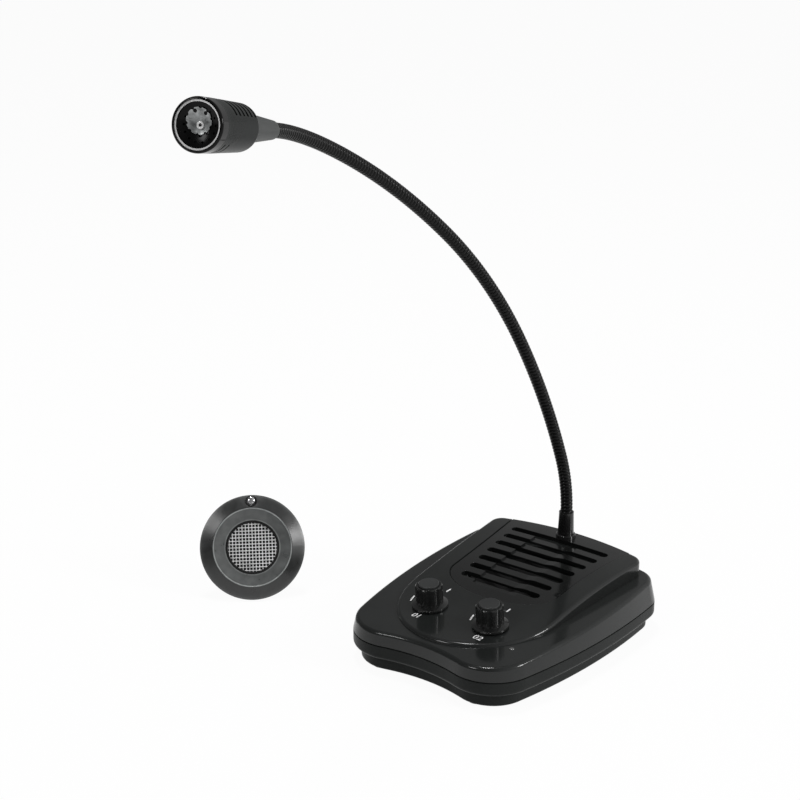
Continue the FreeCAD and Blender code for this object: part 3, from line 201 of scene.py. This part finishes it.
hose = {
    "foot": (0, 73.2, 62.57),           # where it leaves the collar
    "lengths": (39.7, 87.3, 99.2, 95.2, 75.4),
    "bends": (16.1, 11.2, 21.3, 15.8, 28.2),
    "turns": (-26.9, 11.8, 13.1, 16.6, 32.6),
    "socket": 11.0,                     # runs on inside the collar
    "boot": 15.0,                       # straight tail, and on inside the boot
    "crest": 4.0,
    "valley": 3.5,
    "pitch": 2.4,
    "steps": 32,
    "rib": ((0, 0), (0.10, 0.45), (0.22, 0.82), (0.38, 0.98), (0.54, 1), (0.70, 0.90), (0.84, 0.60),
            (0.94, 0.22), (1, 0)),
    "soft": 34.0,                       # the bend at a joint spreads this far each way
}


def hoseKnots():
    # place, direction and handle lengths of each Bezier knot
    along = Vector((0, 0, 1))
    turn = math.radians(hose["turns"][0])
    inward = Vector((math.sin(turn), -math.cos(turn), 0))
    point = Vector(hose["foot"])
    knots = [[point - along * hose["socket"], along.copy(), hose["socket"] / 3, hose["socket"] / 3],
             [point.copy(), along.copy(), hose["socket"] / 3, 0]]
    for k, (length, bend) in enumerate(zip(hose["lengths"], hose["bends"])):
        if k:
            inward = Matrix.Rotation(math.radians(hose["turns"][k]), 3, along) @ inward
        angle = math.radians(bend)
        radius = length / angle
        handle = 4 / 3 * math.tan(angle / 4) * radius
        knots[-1][3] = handle
        point = point + along * (radius * math.sin(angle)) + inward * (radius * (1 - math.cos(angle)))
        along, inward = (along * math.cos(angle) + inward * math.sin(angle),
                         inward * math.cos(angle) - along * math.sin(angle))
        knots.append([point.copy(), along.copy(), handle, handle])
    knots[-1][3] = hose["boot"] / 3
    knots.append([point + along * hose["boot"], along.copy(), hose["boot"] / 3, hose["boot"] / 3])
    return knots


headEnd, headAxis = hoseKnots()[6][:2]
headSide = Vector((-headAxis.y, headAxis.x, 0)).normalized()
headUp = headAxis.cross(headSide)


# finishes

def addNode(tree, kind, sockets=(), **settings):
    node = tree.nodes.new(kind)
    for key, value in settings.items():
        setattr(node, key, value)
    for key, value in dict(sockets).items():
        node.inputs[key].default_value = value
    return node


def ringTones(tree, place, rings):
    # grey that changes with the distance from the axis of a round piece
    link = tree.links.new
    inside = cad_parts[rings["node"]].matrix_world.inverted()
    centre = inside @ (Vector(rings["centre"]) * mm)
    axis = inside.to_3x3() @ Vector(rings["axis"])
    centred = addNode(tree, "ShaderNodeVectorMath", {1: centre}, operation="SUBTRACT")
    along = addNode(tree, "ShaderNodeVectorMath", {1: axis}, operation="DOT_PRODUCT")
    axial = addNode(tree, "ShaderNodeVectorMath", {0: axis}, operation="SCALE")
    across = addNode(tree, "ShaderNodeVectorMath", operation="SUBTRACT")
    length = addNode(tree, "ShaderNodeVectorMath", operation="LENGTH")
    share = addNode(tree, "ShaderNodeMath", {1: rings["reach"] * mm}, operation="DIVIDE")
    tones = addNode(tree, "ShaderNodeValToRGB")
    link(place.outputs["Object"], centred.inputs[0])
    link(centred.outputs["Vector"], along.inputs[0])
    link(along.outputs["Value"], axial.inputs["Scale"])
    link(centred.outputs["Vector"], across.inputs[0])
    link(axial.outputs["Vector"], across.inputs[1])
    link(across.outputs["Vector"], length.inputs[0])
    link(length.outputs["Value"], share.inputs[0])
    link(share.outputs["Value"], tones.inputs["Fac"])
    stops = tones.color_ramp.elements
    while len(stops) < len(rings["stops"]):
        stops.new(0.5)
    for stop, (radius, tone) in zip(stops, rings["stops"]):
        stop.position = radius / rings["reach"]
        stop.color = (tone, tone, tone, 1)
    return tones


driftBand = (0.3, 0.7)                  # the part of the slow noise that is used
wornBand = (0.52, 0.62)                 # pointiness at which an edge starts and ends to wear


def surface(name, look):
    # one finish: a slow drift of tone and gloss, a fine grain, and paler rounded edges
    # sizes in mm; tones are linear
    material = bpy.data.materials.new(name)
    material.use_nodes = True
    tree = material.node_tree
    shader = tree.nodes["Principled BSDF"]
    link = tree.links.new
    place = addNode(tree, "ShaderNodeTexCoord")
    drift = addNode(tree, "ShaderNodeTexNoise", {"Scale": 1 / (look.get("patch", 25) * mm), "Detail": 3})
    grain = addNode(tree, "ShaderNodeTexNoise", {"Scale": 1 / (look.get("grain", 0.6) * mm), "Detail": 2})
    link(place.outputs["Object"], drift.inputs["Vector"])
    link(place.outputs["Object"], grain.inputs["Vector"])

    tone = look["tone"]
    spread = look.get("spread", 0.12)
    ramp = addNode(tree, "ShaderNodeValToRGB")
    ramp.color_ramp.elements[0].position = driftBand[0]
    ramp.color_ramp.elements[1].position = driftBand[1]
    ramp.color_ramp.elements[0].color = [value * (1 - spread) for value in tone] + [1]
    ramp.color_ramp.elements[1].color = [value * (1 + spread) for value in tone] + [1]
    link(drift.outputs["Fac"], ramp.inputs["Fac"])
    colour = ramp.outputs["Color"]
    if look.get("rings"):
        tones = ringTones(tree, place, look["rings"])
        tinted = addNode(tree, "ShaderNodeMix", data_type="RGBA", blend_type="MULTIPLY")
        tinted.inputs["Factor"].default_value = 1
        link(colour, tinted.inputs["A"])
        link(tones.outputs["Color"], tinted.inputs["B"])
        colour = tinted.outputs["Result"]

    rough = look["rough"]
    gloss = addNode(tree, "ShaderNodeMapRange", {"From Min": driftBand[0], "From Max": driftBand[1],
                                                 "To Min": rough * (1 - look.get("sheenDrift", 0.1)),
                                                 "To Max": rough * (1 + look.get("sheenDrift", 0.1))})
    link(drift.outputs["Fac"], gloss.inputs["Value"])

    # handling wears the corners a little paler
    edge = addNode(tree, "ShaderNodeNewGeometry")
    worn = addNode(tree, "ShaderNodeMapRange", {"From Min": wornBand[0], "From Max": wornBand[1], "To Min": 0,
                                                "To Max": look.get("wear", 0.25)})
    link(edge.outputs["Pointiness"], worn.inputs["Value"])
    pale = addNode(tree, "ShaderNodeMix", data_type="RGBA")
    pale.inputs["B"].default_value = [min(1, value * 2 + 0.02) for value in tone] + [1]
    link(worn.outputs["Result"], pale.inputs["Factor"])
    link(colour, pale.inputs["A"])
    link(pale.outputs["Result"], shader.inputs["Base Color"])
    link(gloss.outputs["Result"], shader.inputs["Roughness"])

    bump = addNode(tree, "ShaderNodeBump", {"Strength": 1, "Distance": look.get("depth", 0.01) * mm})
    link(grain.outputs["Fac"], bump.inputs["Height"])
    if look.get("round"):
        corner = addNode(tree, "ShaderNodeBevel", {"Radius": look["round"] * mm}, samples=4)
        link(corner.outputs["Normal"], bump.inputs["Normal"])
    link(bump.outputs["Normal"], shader.inputs["Normal"])

    shader.inputs["Metallic"].default_value = look.get("metal", 0)
    shader.inputs["Specular IOR Level"].default_value = look.get("shine", 0.5)
    shader.inputs["Coat Weight"].default_value = look.get("coat", 0)
    shader.inputs["Coat Roughness"].default_value = look.get("coatRough", 0.1)
    return material


station = {
    "foot": (-159.9, -57.4, 0),
    "turn": 43.9,
    "lean": 23.7,
    "rise": 34.9,                       # from the foot up to the centre
    "front": 5.7,                       # and forward to the crest of the plate
}
turned, leaning = math.radians(station["turn"]), math.radians(station["lean"])
stationAxis = Vector((math.sin(turned) * math.cos(leaning), -math.cos(turned) * math.cos(leaning),
                      math.sin(leaning)))
stationSide = Vector((math.cos(turned), math.sin(turned), 0))
stationUp = stationAxis.cross(stationSide)
stationCentre = Vector(station["foot"]) + stationUp * station["rise"] + stationAxis * station["front"]
# the plate of the station, toned by radius: dark mouth inside the funnel as painted shade, painted highlights
# on the crest of the mouth and on the step, paler funnel, dark bevel, lighter outer edge
flangePaintedLight = {
    "node": "station_flange",
    "centre": stationCentre,
    "axis": stationAxis,
    "reach": 36.0,
    "stops": ((0, 0.05), (17.8, 0.05), (18.1, 0.36), (18.5, 0.25), (18.9, 0.15), (25.4, 0.17), (25.7, 0.62),
              (26.1, 0.55), (26.4, 0.030), (33.4, 0.034), (34.6, 0.12)),   # radius in mm, share of the tone
}

# the bore of the bright ring is painted dark as painted shade; its front keeps the full tone
ringShadedBore = {
    "node": "head_ring",
    "centre": headEnd,
    "axis": headAxis,
    "reach": 12.0,
    "stops": ((0, 0.01), (10.66, 0.01), (10.78, 1), (12.0, 1)),
}

finishes = {
    "shellBlack": {"tone": (0.0122, 0.0134, 0.0130), "rough": 0.32, "shine": 0.06, "coat": 0.6,
        "coatRough": 0.11, "grain": 0.5, "depth": 0.003, "round": 0.35, "wear": 0.04},
    "trayBlack": {"tone": (0.0185, 0.0200, 0.0194), "rough": 0.34, "shine": 0.06, "grain": 0.5,
        "depth": 0.006, "round": 0.35, "wear": 0.1},
    "panelBlack": {"tone": (0.0065, 0.0070, 0.0068), "rough": 0.24, "shine": 0.06, "coat": 0.8,
        "coatRough": 0.10, "grain": 0.5, "depth": 0.003, "round": 0.8, "wear": 0.04},
    "knobBlack": {"tone": (0.0110, 0.0114, 0.0112), "rough": 0.18, "shine": 0.3, "coat": 0.3,
        "coatRough": 0.06, "grain": 0.4, "depth": 0.002, "round": 0.3, "wear": 0.1},
    "capBlack": {"tone": (0.024, 0.025, 0.025), "rough": 0.38, "shine": 0.25, "grain": 0.3, "depth": 0.005,
        "round": 0.25},
    "footRubber": {"tone": (0.012, 0.012, 0.012), "rough": 0.80, "shine": 0.3, "grain": 0.7, "depth": 0.05,
        "wear": 0.1},
    "screwBlack": {"tone": (0.50, 0.50, 0.51), "rough": 0.18, "metal": 0.95, "grain": 0.3, "depth": 0.002},
    "ballastSteel": {"tone": (0.42, 0.42, 0.43), "rough": 0.45, "metal": 1, "grain": 0.4, "depth": 0.01},
    "lensSmoke": {"tone": (0.10, 0.10, 0.10), "rough": 0.12, "grain": 0.8, "depth": 0.002, "coat": 0.5},
    "speakerSteel": {"tone": (0.03, 0.03, 0.031), "rough": 0.45, "metal": 1, "grain": 0.4, "depth": 0.006},
    "speakerPaper": {"tone": (0.008, 0.008, 0.008), "rough": 0.85, "shine": 0.2, "grain": 0.35,
        "depth": 0.03},
    "magnetGrey": {"tone": (0.10, 0.10, 0.10), "rough": 0.6, "grain": 0.5, "depth": 0.02},
    "boardGreen": {"tone": (0.02, 0.10, 0.045), "rough": 0.35, "grain": 1.2, "depth": 0.01, "spread": 0.3},
    "partsDark": {"tone": (0.02, 0.02, 0.022), "rough": 0.45, "grain": 0.5, "depth": 0.008},
    "potMetal": {"tone": (0.55, 0.54, 0.52), "rough": 0.35, "metal": 1, "grain": 0.4, "depth": 0.006},
    "shaftMetal": {"tone": (0.62, 0.62, 0.60), "rough": 0.28, "metal": 1, "grain": 0.4, "depth": 0.004},
    "socketBlack": {"tone": (0.012, 0.012, 0.012), "rough": 0.35, "shine": 0.4, "grain": 0.4,
        "depth": 0.004, "round": 0.15},
    "rockerBlack": {"tone": (0.014, 0.014, 0.014), "rough": 0.30, "shine": 0.4, "grain": 0.4,
        "depth": 0.004, "round": 0.2},
    "collarBlack": {"tone": (0.0070, 0.0068, 0.0070), "rough": 0.16, "shine": 0.25, "coat": 0.4,
        "coatRough": 0.06, "grain": 0.4, "depth": 0.002, "round": 0.3},
    "neckBlack": {"tone": (0.0045, 0.0045, 0.0045), "rough": 0.24, "shine": 0.14, "grain": 0.3,
        "depth": 0.003, "wear": 0.3},
    "headBlack": {"tone": (0.0135, 0.0150, 0.0145), "rough": 0.28, "shine": 0.03, "grain": 0.35,
        "depth": 0.004, "round": 0.3},
    "bootBlack": {"tone": (0.042, 0.045, 0.044), "rough": 0.50, "shine": 0.2, "grain": 0.4, "depth": 0.012,
        "round": 0.25},
    "bezelBlack": {"tone": (0.003, 0.003, 0.003), "rough": 0.08, "shine": 0.13, "grain": 0.5,
        "depth": 0.001},
    # ringChrome: a near-white, almost non-metal tone stands in for the chrome's bright reflection, a painted
    # highlight
    "ringChrome": {"tone": (0.97, 0.97, 0.97), "rough": 0.3, "metal": 0.1, "grain": 0.4, "depth": 0.001,
        "wear": 0, "rings": ringShadedBore},
    # ferruleChrome: a near-white tone is a painted highlight standing in for the chrome's reflection
    "ferruleChrome": {"tone": (0.95, 0.95, 0.95), "rough": 0.25, "metal": 0.3, "grain": 0.4, "depth": 0.001,
        "wear": 0},
    "dishBlack": {"tone": (0.003, 0.003, 0.003), "rough": 0.22, "shine": 0.12, "grain": 0.5, "depth": 0.002,
        "wear": 0.02},
    "plateSteel": {"tone": (0.27, 0.28, 0.28), "rough": 0.3, "metal": 0.5, "grain": 0.8, "depth": 0.04,
        "spread": 0.6, "patch": 3},
    "capsuleMetal": {"tone": (0.45, 0.45, 0.46), "rough": 0.35, "metal": 1, "grain": 0.4, "depth": 0.004},
    # stationGrey carries painted shade in the mouth and painted highlights on the two crests, by radius
    "stationGrey": {"tone": (0.50, 0.525, 0.52), "rough": 0.30, "shine": 0.60, "grain": 0.35,
        "depth": 0.006, "spread": 0.22, "patch": 5, "wear": 0.03, "rings": flangePaintedLight},
    "meshSteel": {"tone": (0.86, 0.86, 0.86), "rough": 0.28, "metal": 0.3, "grain": 0.25, "depth": 0.004,
        "wear": 0},
    "stationDark": {"tone": (0.010, 0.010, 0.010), "rough": 0.45, "shine": 0.3, "grain": 0.4,
        "depth": 0.008, "round": 0.2},
    "printWhite": {"tone": (0.78, 0.78, 0.78), "rough": 0.55, "grain": 0.25, "depth": 0.004, "spread": 0.06,
        "wear": 0},
}
materials = {name: surface(name, look) for name, look in finishes.items()}

nodeFinish = {
    "shellBlack": ["upper_shell"],
    "trayBlack": ["lower_shell"],
    "panelBlack": ["grille_panel"],
    "knobBlack": ["knob_1_body", "knob_2_body"],
    "capBlack": ["knob_1_cap", "knob_2_cap"],
    "footRubber": ["rubber_feet"],
    "screwBlack": ["case_screws", "board_screws", "speaker_screws", "station_screw"],
    "ballastSteel": ["ballast_plate"],
    "lensSmoke": ["led_lens"],
    "speakerSteel": ["speaker_frame"],
    "speakerPaper": ["speaker_cone"],
    "magnetGrey": ["speaker_magnet"],
    "boardGreen": ["main_board"],
    "partsDark": ["board_parts", "capsule_holder"],
    "potMetal": ["pot_bodies", "pot_nuts"],
    "shaftMetal": ["knob_1_shaft", "knob_2_shaft"],
    "socketBlack": ["dc_inlet", "station_socket", "line_socket", "rocker_frame", "station_jack"],
    "rockerBlack": ["rocker"],
    "collarBlack": ["neck_nut", "neck_collar", "neck_lock_nut"],
    "neckBlack": ["neck_section_1", "neck_section_2", "neck_section_3", "neck_section_4", "neck_section_5"],
    "headBlack": ["head_shell"],
    "bootBlack": ["head_boot"],
    "bezelBlack": ["head_bezel"],
    "ringChrome": ["head_ring"],
    "dishBlack": ["head_dish"],
    "capsuleMetal": ["mic_capsule"],
    "stationGrey": ["station_flange"],
    "meshSteel": ["station_mesh"],
    "stationDark": ["station_housing", "station_unit"],
}
for finish, nodes in nodeFinish.items():
    for node in nodes:
        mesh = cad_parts[node].data
        mesh.materials.clear()
        mesh.materials.append(materials[finish])
bare = set(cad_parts) - {node for nodes in nodeFinish.values() for node in nodes}
print("finishes given; nodes without one:", sorted(bare))


# gooseneck: a wound hose on the neck's own line

def hoseLine(knots):
    bpy.ops.curve.primitive_bezier_curve_add()
    line = named("hoseLine")
    line.data.resolution_u = 48
    line.data.twist_mode = "MINIMUM"
    spline = line.data.splines[0]
    spline.bezier_points.add(len(knots) - len(spline.bezier_points))
    for point, (place, along, before, after) in zip(spline.bezier_points, knots):
        point.handle_left_type = point.handle_right_type = "FREE"
        point.co = place * mm
        point.handle_left = (place - along * before) * mm
        point.handle_right = (place + along * after) * mm
    return line


def hoseTube(length):
    # one rib's section is drawn by extruding a point, then screwed along X
    depth = hose["crest"] - hose["valley"]
    nothingPicked()
    bpy.ops.mesh.primitive_plane_add(size=1 * mm, location=(0, 0, 0))
    tube = named("hoseTube")
    bpy.ops.object.mode_set(mode="EDIT")
    bpy.ops.mesh.select_all(action="SELECT")
    bpy.ops.mesh.merge(type="CENTER")
    bpy.ops.transform.translate(value=(-hose["pitch"] * mm, 0, hose["valley"] * mm))
    for (x0, h0), (x1, h1) in zip(hose["rib"], hose["rib"][1:]):
        step = ((x1 - x0) * hose["pitch"] * mm, 0, (h1 - h0) * depth * mm)
        bpy.ops.mesh.extrude_region_move(TRANSFORM_OT_translate={"value": step})
    bpy.ops.object.mode_set(mode="OBJECT")
    applyModifier(tube, "SCREW", {"axis": "X", "angle": math.tau, "screw_offset": hose["pitch"] * mm,
                                  "iterations": int(length / hose["pitch"]) + 3, "steps": hose["steps"],
                                  "render_steps": hose["steps"], "use_merge_vertices": False})
    bpy.ops.object.mode_set(mode="EDIT")
    bpy.ops.mesh.select_all(action="SELECT")
    bpy.ops.mesh.remove_doubles(threshold=0.005 * mm)
    bpy.ops.mesh.normals_make_consistent(inside=False)
    bpy.ops.object.mode_set(mode="OBJECT")
    return tube


def cutBetween(piece, low, high):
    pick(piece)
    bpy.ops.object.mode_set(mode="EDIT")
    for x, inner, outer in ((low, True, False), (high, False, True)):
        bpy.ops.mesh.select_all(action="SELECT")
        bpy.ops.mesh.bisect(plane_co=(x * mm, 0, 0), plane_no=(1, 0, 0), use_fill=True,
                            clear_inner=inner, clear_outer=outer)
    bpy.ops.mesh.select_all(action="SELECT")
    bpy.ops.mesh.normals_make_consistent(inside=False)
    bpy.ops.object.mode_set(mode="OBJECT")


def makeHose():
    knots = hoseKnots()
    line = hoseLine(knots)
    starts = [hose["socket"] + sum(hose["lengths"][:k]) for k in range(6)]
    end = starts[5] + hose["boot"]
    tube = hoseTube(end)
    middles = [(starts[k] + starts[k + 1]) / 2 for k in (1, 2, 3)]
    cuts = [0] + middles + [end]
    covered = [["neck_section_1"], ["neck_section_2"], ["neck_section_3"], ["neck_section_4", "neck_section_5"]]
    for k in range(4):
        stretch = copyOf(tube, "hose_stretch_%d" % (k + 1))
        cutBetween(stretch, cuts[k], cuts[k + 1])
        applyModifier(stretch, "CURVE", {"object": line, "deform_axis": "POS_X"})
        settle(stretch)
        smooth(stretch, 50)
        stretch.data.materials.append(materials["neckBlack"])
        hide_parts(*covered[k])
        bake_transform(stretch)
    bpy.data.objects.remove(tube)
    bpy.data.objects.remove(line)


makeHose()
print("gooseneck wound")


# screws with a crossed recess

def turnedInto(centre, side, up, axis):
    columns = (side, up, axis, centre * mm)
    return Matrix([[column[row] for column in columns] for row in range(3)] + [[0, 0, 0, 1]])


def putAt(piece, placing):
    piece.matrix_world = placing
    settle(piece)


def cutWith(piece, tool, operation="DIFFERENCE"):
    applyModifier(piece, "BOOLEAN", {"object": tool, "operation": operation, "solver": "EXACT"})
    bpy.data.objects.remove(tool)


def rodBetween(name, radius, low, high, place=(0, 0), corners=48):
    bpy.ops.mesh.primitive_cylinder_add(vertices=corners, radius=radius * mm, depth=(high - low) * mm,
                                        location=(place[0] * mm, place[1] * mm, (low + high) / 2 * mm))
    rod = named(name)
    settle(rod)
    return rod


def joined(pieces, name):
    pick(pieces[0])
    for piece in pieces[1:]:
        piece.select_set(True)
    bpy.ops.object.join()
    return named(name)


screws = {
    "station_pan_screw": {
        "radius": 3.25, "height": 1.5, "shank": 1.4, "reach": 6.4, "body": "station",
        "replaces": "station_screw", "side": stationSide, "up": stationUp, "axis": stationAxis,
        "seats": (stationCentre + stationUp * 30.7 - stationAxis * 4.5,),
    },
    "case_pan_screws": {
        "radius": 2.95, "height": 2.1, "shank": 1.4, "reach": 17.2, "body": "desk_unit",
        "replaces": "case_screws",
        "side": Vector((1, 0, 0)), "up": Vector((0, -1, 0)), "axis": Vector((0, 0, -1)),
        "seats": [Vector((x, y, 4.2)) for x, y in ((-48, -68), (48, -68), (-55, 50), (55, 50))],
    },
}
recess = {"long": 1.25, "wide": 0.28, "deep": 1.3}     # shares of the head's radius, and of its height
headShape = {"crown": 1.03, "overlap": 0.2}            # flatness of the dome; how far the shank runs up


def makeScrew(name, radius, height, shank, reach):
    # the head stands on z = 0 and the shank goes down
    head = rodBetween(name, radius, 0, height)
    dome = (radius ** 2 + height ** 2) / (2 * height) * headShape["crown"]
    bpy.ops.mesh.primitive_uv_sphere_add(segments=48, ring_count=64, radius=dome * mm,
                                         location=(0, 0, (height - dome) * mm))
    cutWith(head, named("domeTool"), "INTERSECT")
    long, wide = recess["long"] * radius, recess["wide"] * radius
    for sizeX, sizeY in ((long, wide), (wide, long)):
        bpy.ops.mesh.primitive_cube_add(size=1, location=(0, 0, height * mm))
        tool = named("recessTool")
        tool.scale = (sizeX * mm, sizeY * mm, recess["deep"] * height * mm)
        settle(tool)
        cutWith(head, tool)
    stem = rodBetween("screwStem", shank, -reach, headShape["overlap"] * height, corners=24)
    return joined([head, stem], name)


def makeScrews():
    for name, look in screws.items():
        copies = []
        for seat in look["seats"]:
            screw = makeScrew(name, look["radius"], look["height"], look["shank"], look["reach"])
            putAt(screw, turnedInto(seat, look["side"], look["up"], look["axis"]))
            copies.append(screw)
        piece = joined(copies, name) if len(copies) > 1 else copies[0]
        smooth(piece, 35)
        piece.data.materials.append(materials["screwBlack"])
        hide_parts(look["replaces"])
        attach(piece, look["body"])


makeScrews()
print("screws cut")


# outside station: wire net in its mouth

net = {
    "pitch": 2.19,
    "field": 16.3,
    "wire": 0.8,
    "depth": -3.5,
    "ring": (16.0, 18.2),
    "ringDepth": (-4.0, -3.35),
}


def keepFaces(piece, test):
    pick(piece)
    bpy.ops.object.mode_set(mode="EDIT")
    bpy.ops.mesh.select_all(action="DESELECT")
    bpy.ops.mesh.select_mode(type="FACE")
    bpy.ops.object.mode_set(mode="OBJECT")
    for face in piece.data.polygons:
        face.select = not test(face)
    bpy.ops.object.mode_set(mode="EDIT")
    bpy.ops.mesh.delete(type="FACE")
    bpy.ops.mesh.select_mode(type="VERT")
    bpy.ops.object.mode_set(mode="OBJECT")


def makeNet():
    cells = 2 * math.ceil(net["field"] / net["pitch"]) + 2
    bpy.ops.mesh.primitive_grid_add(x_subdivisions=cells, y_subdivisions=cells, size=cells * net["pitch"] * mm)
    wires = named("station_net")
    keepFaces(wires, lambda face: face.center.length < (net["field"] + net["pitch"]) * mm)
    applyModifier(wires, "WIREFRAME", {"thickness": net["wire"] * mm, "offset": 0, "use_even_offset": False})
    cutWith(wires, rodBetween("netTool", net["field"], -1, 1, corners=96), "INTERSECT")
    placing = turnedInto(stationCentre + stationAxis * net["depth"], stationSide, stationUp, stationAxis)
    putAt(wires, placing)
    wires.data.materials.append(materials["meshSteel"])
    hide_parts("station_mesh")
    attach(wires, "station")

    # a dark ring fills the gap between the net and the funnel: painted shade standing in for the shadow in that
    # gap
    inner, outer = net["ring"]
    low, high = net["ringDepth"]
    ring = rodBetween("station_net_ring", outer, low, high, corners=96)
    cutWith(ring, rodBetween("ringTool", inner, low - 1, high + 1, corners=96))
    applyModifier(ring, "BEVEL", {"width": 0.12 * mm, "segments": 2, "limit_method": "ANGLE"})
    putAt(ring, turnedInto(stationCentre, stationSide, stationUp, stationAxis))
    smooth(ring, 40)
    ring.data.materials.append(materials["stationDark"])
    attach(ring, "station")


makeNet()
print("station net laid")


# microphone head: scalloped plate and bright ferrule in the dish

plate = {
    "bed": 89.8,                        # along the head from the last joint of the neck
    "bowl": 18.95,
    "lift": 0.21,
    "thickness": 0.3,
    "centre": (-0.6, 1.9),
    "radius": 6.3,
    "scallops": 10,
    "scallop": 0.95,
    "scallopPlace": 1.06,               # share of the radius
    "scallopStart": 0.3,                # share of the pitch
    "rimHeight": 3.4,                   # of the bowl that the sheet is cut from
    "holes": ((-2.6, 6.4, 0.95), (2.6, 5.5, 0.95), (0, 0, 1.85)),
    "ferrule": (1.8, 0.85, 0.75),       # radius, bore, height over the dish's own ferrule
    "ferruleTop": 91.0,
}


def makePlate():
    centreX, centreY = plate["centre"]
    low, high = plate["bed"] - 1, plate["bed"] + 6
    middle = plate["bed"] + plate["lift"] + plate["bowl"]
    bpy.ops.mesh.primitive_uv_sphere_add(segments=96, ring_count=120, radius=plate["bowl"] * mm,
                                         location=(0, 0, middle * mm))
    disc = named("dish_plate")
    settle(disc)
    keepFaces(disc, lambda face: face.center.z < (plate["bed"] + plate["rimHeight"]) * mm)
    applyModifier(disc, "SOLIDIFY", {"thickness": plate["thickness"] * mm, "offset": -1})
    outline = rodBetween("plateTool", plate["radius"], low, high, plate["centre"], 72)
    for k in range(plate["scallops"]):
        angle = math.tau * (k + plate["scallopStart"]) / plate["scallops"]
        reach = plate["scallopPlace"] * plate["radius"]
        spot = (centreX + reach * math.cos(angle), centreY + reach * math.sin(angle))
        cutWith(outline, rodBetween("scallopTool", plate["scallop"], low - 1, high + 1, spot, 20))
    for x, y, radius in plate["holes"]:
        cutWith(outline, rodBetween("holeTool", radius, low - 1, high + 1, (x, y), 24))
    cutWith(disc, outline, "INTERSECT")
    putAt(disc, turnedInto(headEnd, headSide, headUp, headAxis))
    smooth(disc, 40)
    disc.data.materials.append(materials["plateSteel"])
    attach(disc, "head")

    radius, bore, height = plate["ferrule"]
    top = plate["ferruleTop"]
    collar = rodBetween("dish_ferrule", radius, top - height, top + 0.25, corners=40)
    cutWith(collar, rodBetween("boreTool", bore, top - height - 1, top + 1, corners=40))
    applyModifier(collar, "BEVEL", {"width": 0.2 * mm, "segments": 3, "limit_method": "ANGLE"})
    putAt(collar, turnedInto(headEnd, headSide, headUp, headAxis))
    smooth(collar, 40)
    collar.data.materials.append(materials["ferruleChrome"])
    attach(collar, "head")


makePlate()
print("dish plate pressed")


# printed marks on the deck

marks = {
    "ink": 0.03,                        # thickness of the print
    "above": 60,
    "figureHeight": 4.4,
    "figureShare": 0.7,                 # of the type size that a figure's height takes
    "figureLean": 0.1,
    "figureBold": 0.1,
    "figures": {"01": (-22.6, -57.8), "02": (24.3, -58.6)},
    "strokes": (("low", (-14.4, -1.2), (-16.2, 5.0), 0.95), ("high", (-1.0, 18.0), (-0.6, 22.0), 1.05)),
    "knobs": ((-22.9, -43.5), (22.9, -43.5)),
}


def printOn(piece, shell):
    settle(piece)
    applyModifier(piece, "SHRINKWRAP", {"target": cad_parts[shell], "wrap_method": "PROJECT",
                                        "use_project_z": True, "use_negative_direction": True,
                                        "use_positive_direction": False, "offset": 0.005 * mm})
    applyModifier(piece, "SOLIDIFY", {"thickness": marks["ink"] * mm, "offset": 1})
    piece.data.materials.append(materials["printWhite"])
    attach(piece, "desk_unit")


def makeFigures():
    for figure, (x, y) in marks["figures"].items():
        nothingPicked()
        bpy.ops.object.text_add(location=(x * mm, y * mm, marks["above"] * mm))
        piece = named("figure_" + figure)
        piece.data.body = figure
        piece.data.align_x = "CENTER"
        piece.data.align_y = "CENTER"
        piece.data.size = marks["figureHeight"] * mm / marks["figureShare"]
        piece.data.shear = marks["figureLean"]
        piece.data.offset = marks["figureBold"] * mm
        bpy.ops.object.convert(target="MESH")
        piece = bpy.context.object
        bpy.ops.object.mode_set(mode="EDIT")
        bpy.ops.mesh.select_all(action="SELECT")
        bpy.ops.mesh.remove_doubles(threshold=0.001 * mm)
        bpy.ops.mesh.normals_make_consistent(inside=False)
        bpy.ops.object.mode_set(mode="OBJECT")
        if piece.data.polygons[0].normal.z < 0:
            bpy.ops.object.mode_set(mode="EDIT")
            bpy.ops.mesh.flip_normals()
            bpy.ops.object.mode_set(mode="OBJECT")
        printOn(piece, "upper_shell")


def makeStrokes():
    for number, (kx, ky) in enumerate(marks["knobs"], 1):
        for name, (x0, y0), (x1, y1), width in marks["strokes"]:
            length = math.hypot(x1 - x0, y1 - y0)
            nothingPicked()
            middle = ((kx + (x0 + x1) / 2) * mm, (ky + (y0 + y1) / 2) * mm, marks["above"] * mm)
            bpy.ops.mesh.primitive_plane_add(size=1, location=middle,
                                             rotation=(0, 0, math.atan2(y1 - y0, x1 - x0)))
            piece = named("stroke_%d_%s" % (number, name))
            piece.scale = (length * mm, width * mm, 1)
            settle(piece)
            bpy.ops.object.mode_set(mode="EDIT")
            bpy.ops.mesh.select_all(action="SELECT")
            bpy.ops.mesh.bevel(offset=0.3 * width * mm, segments=4, affect="VERTICES")
            bpy.ops.object.mode_set(mode="OBJECT")
            printOn(piece, "upper_shell")


makeFigures()
makeStrokes()
print("marks printed")
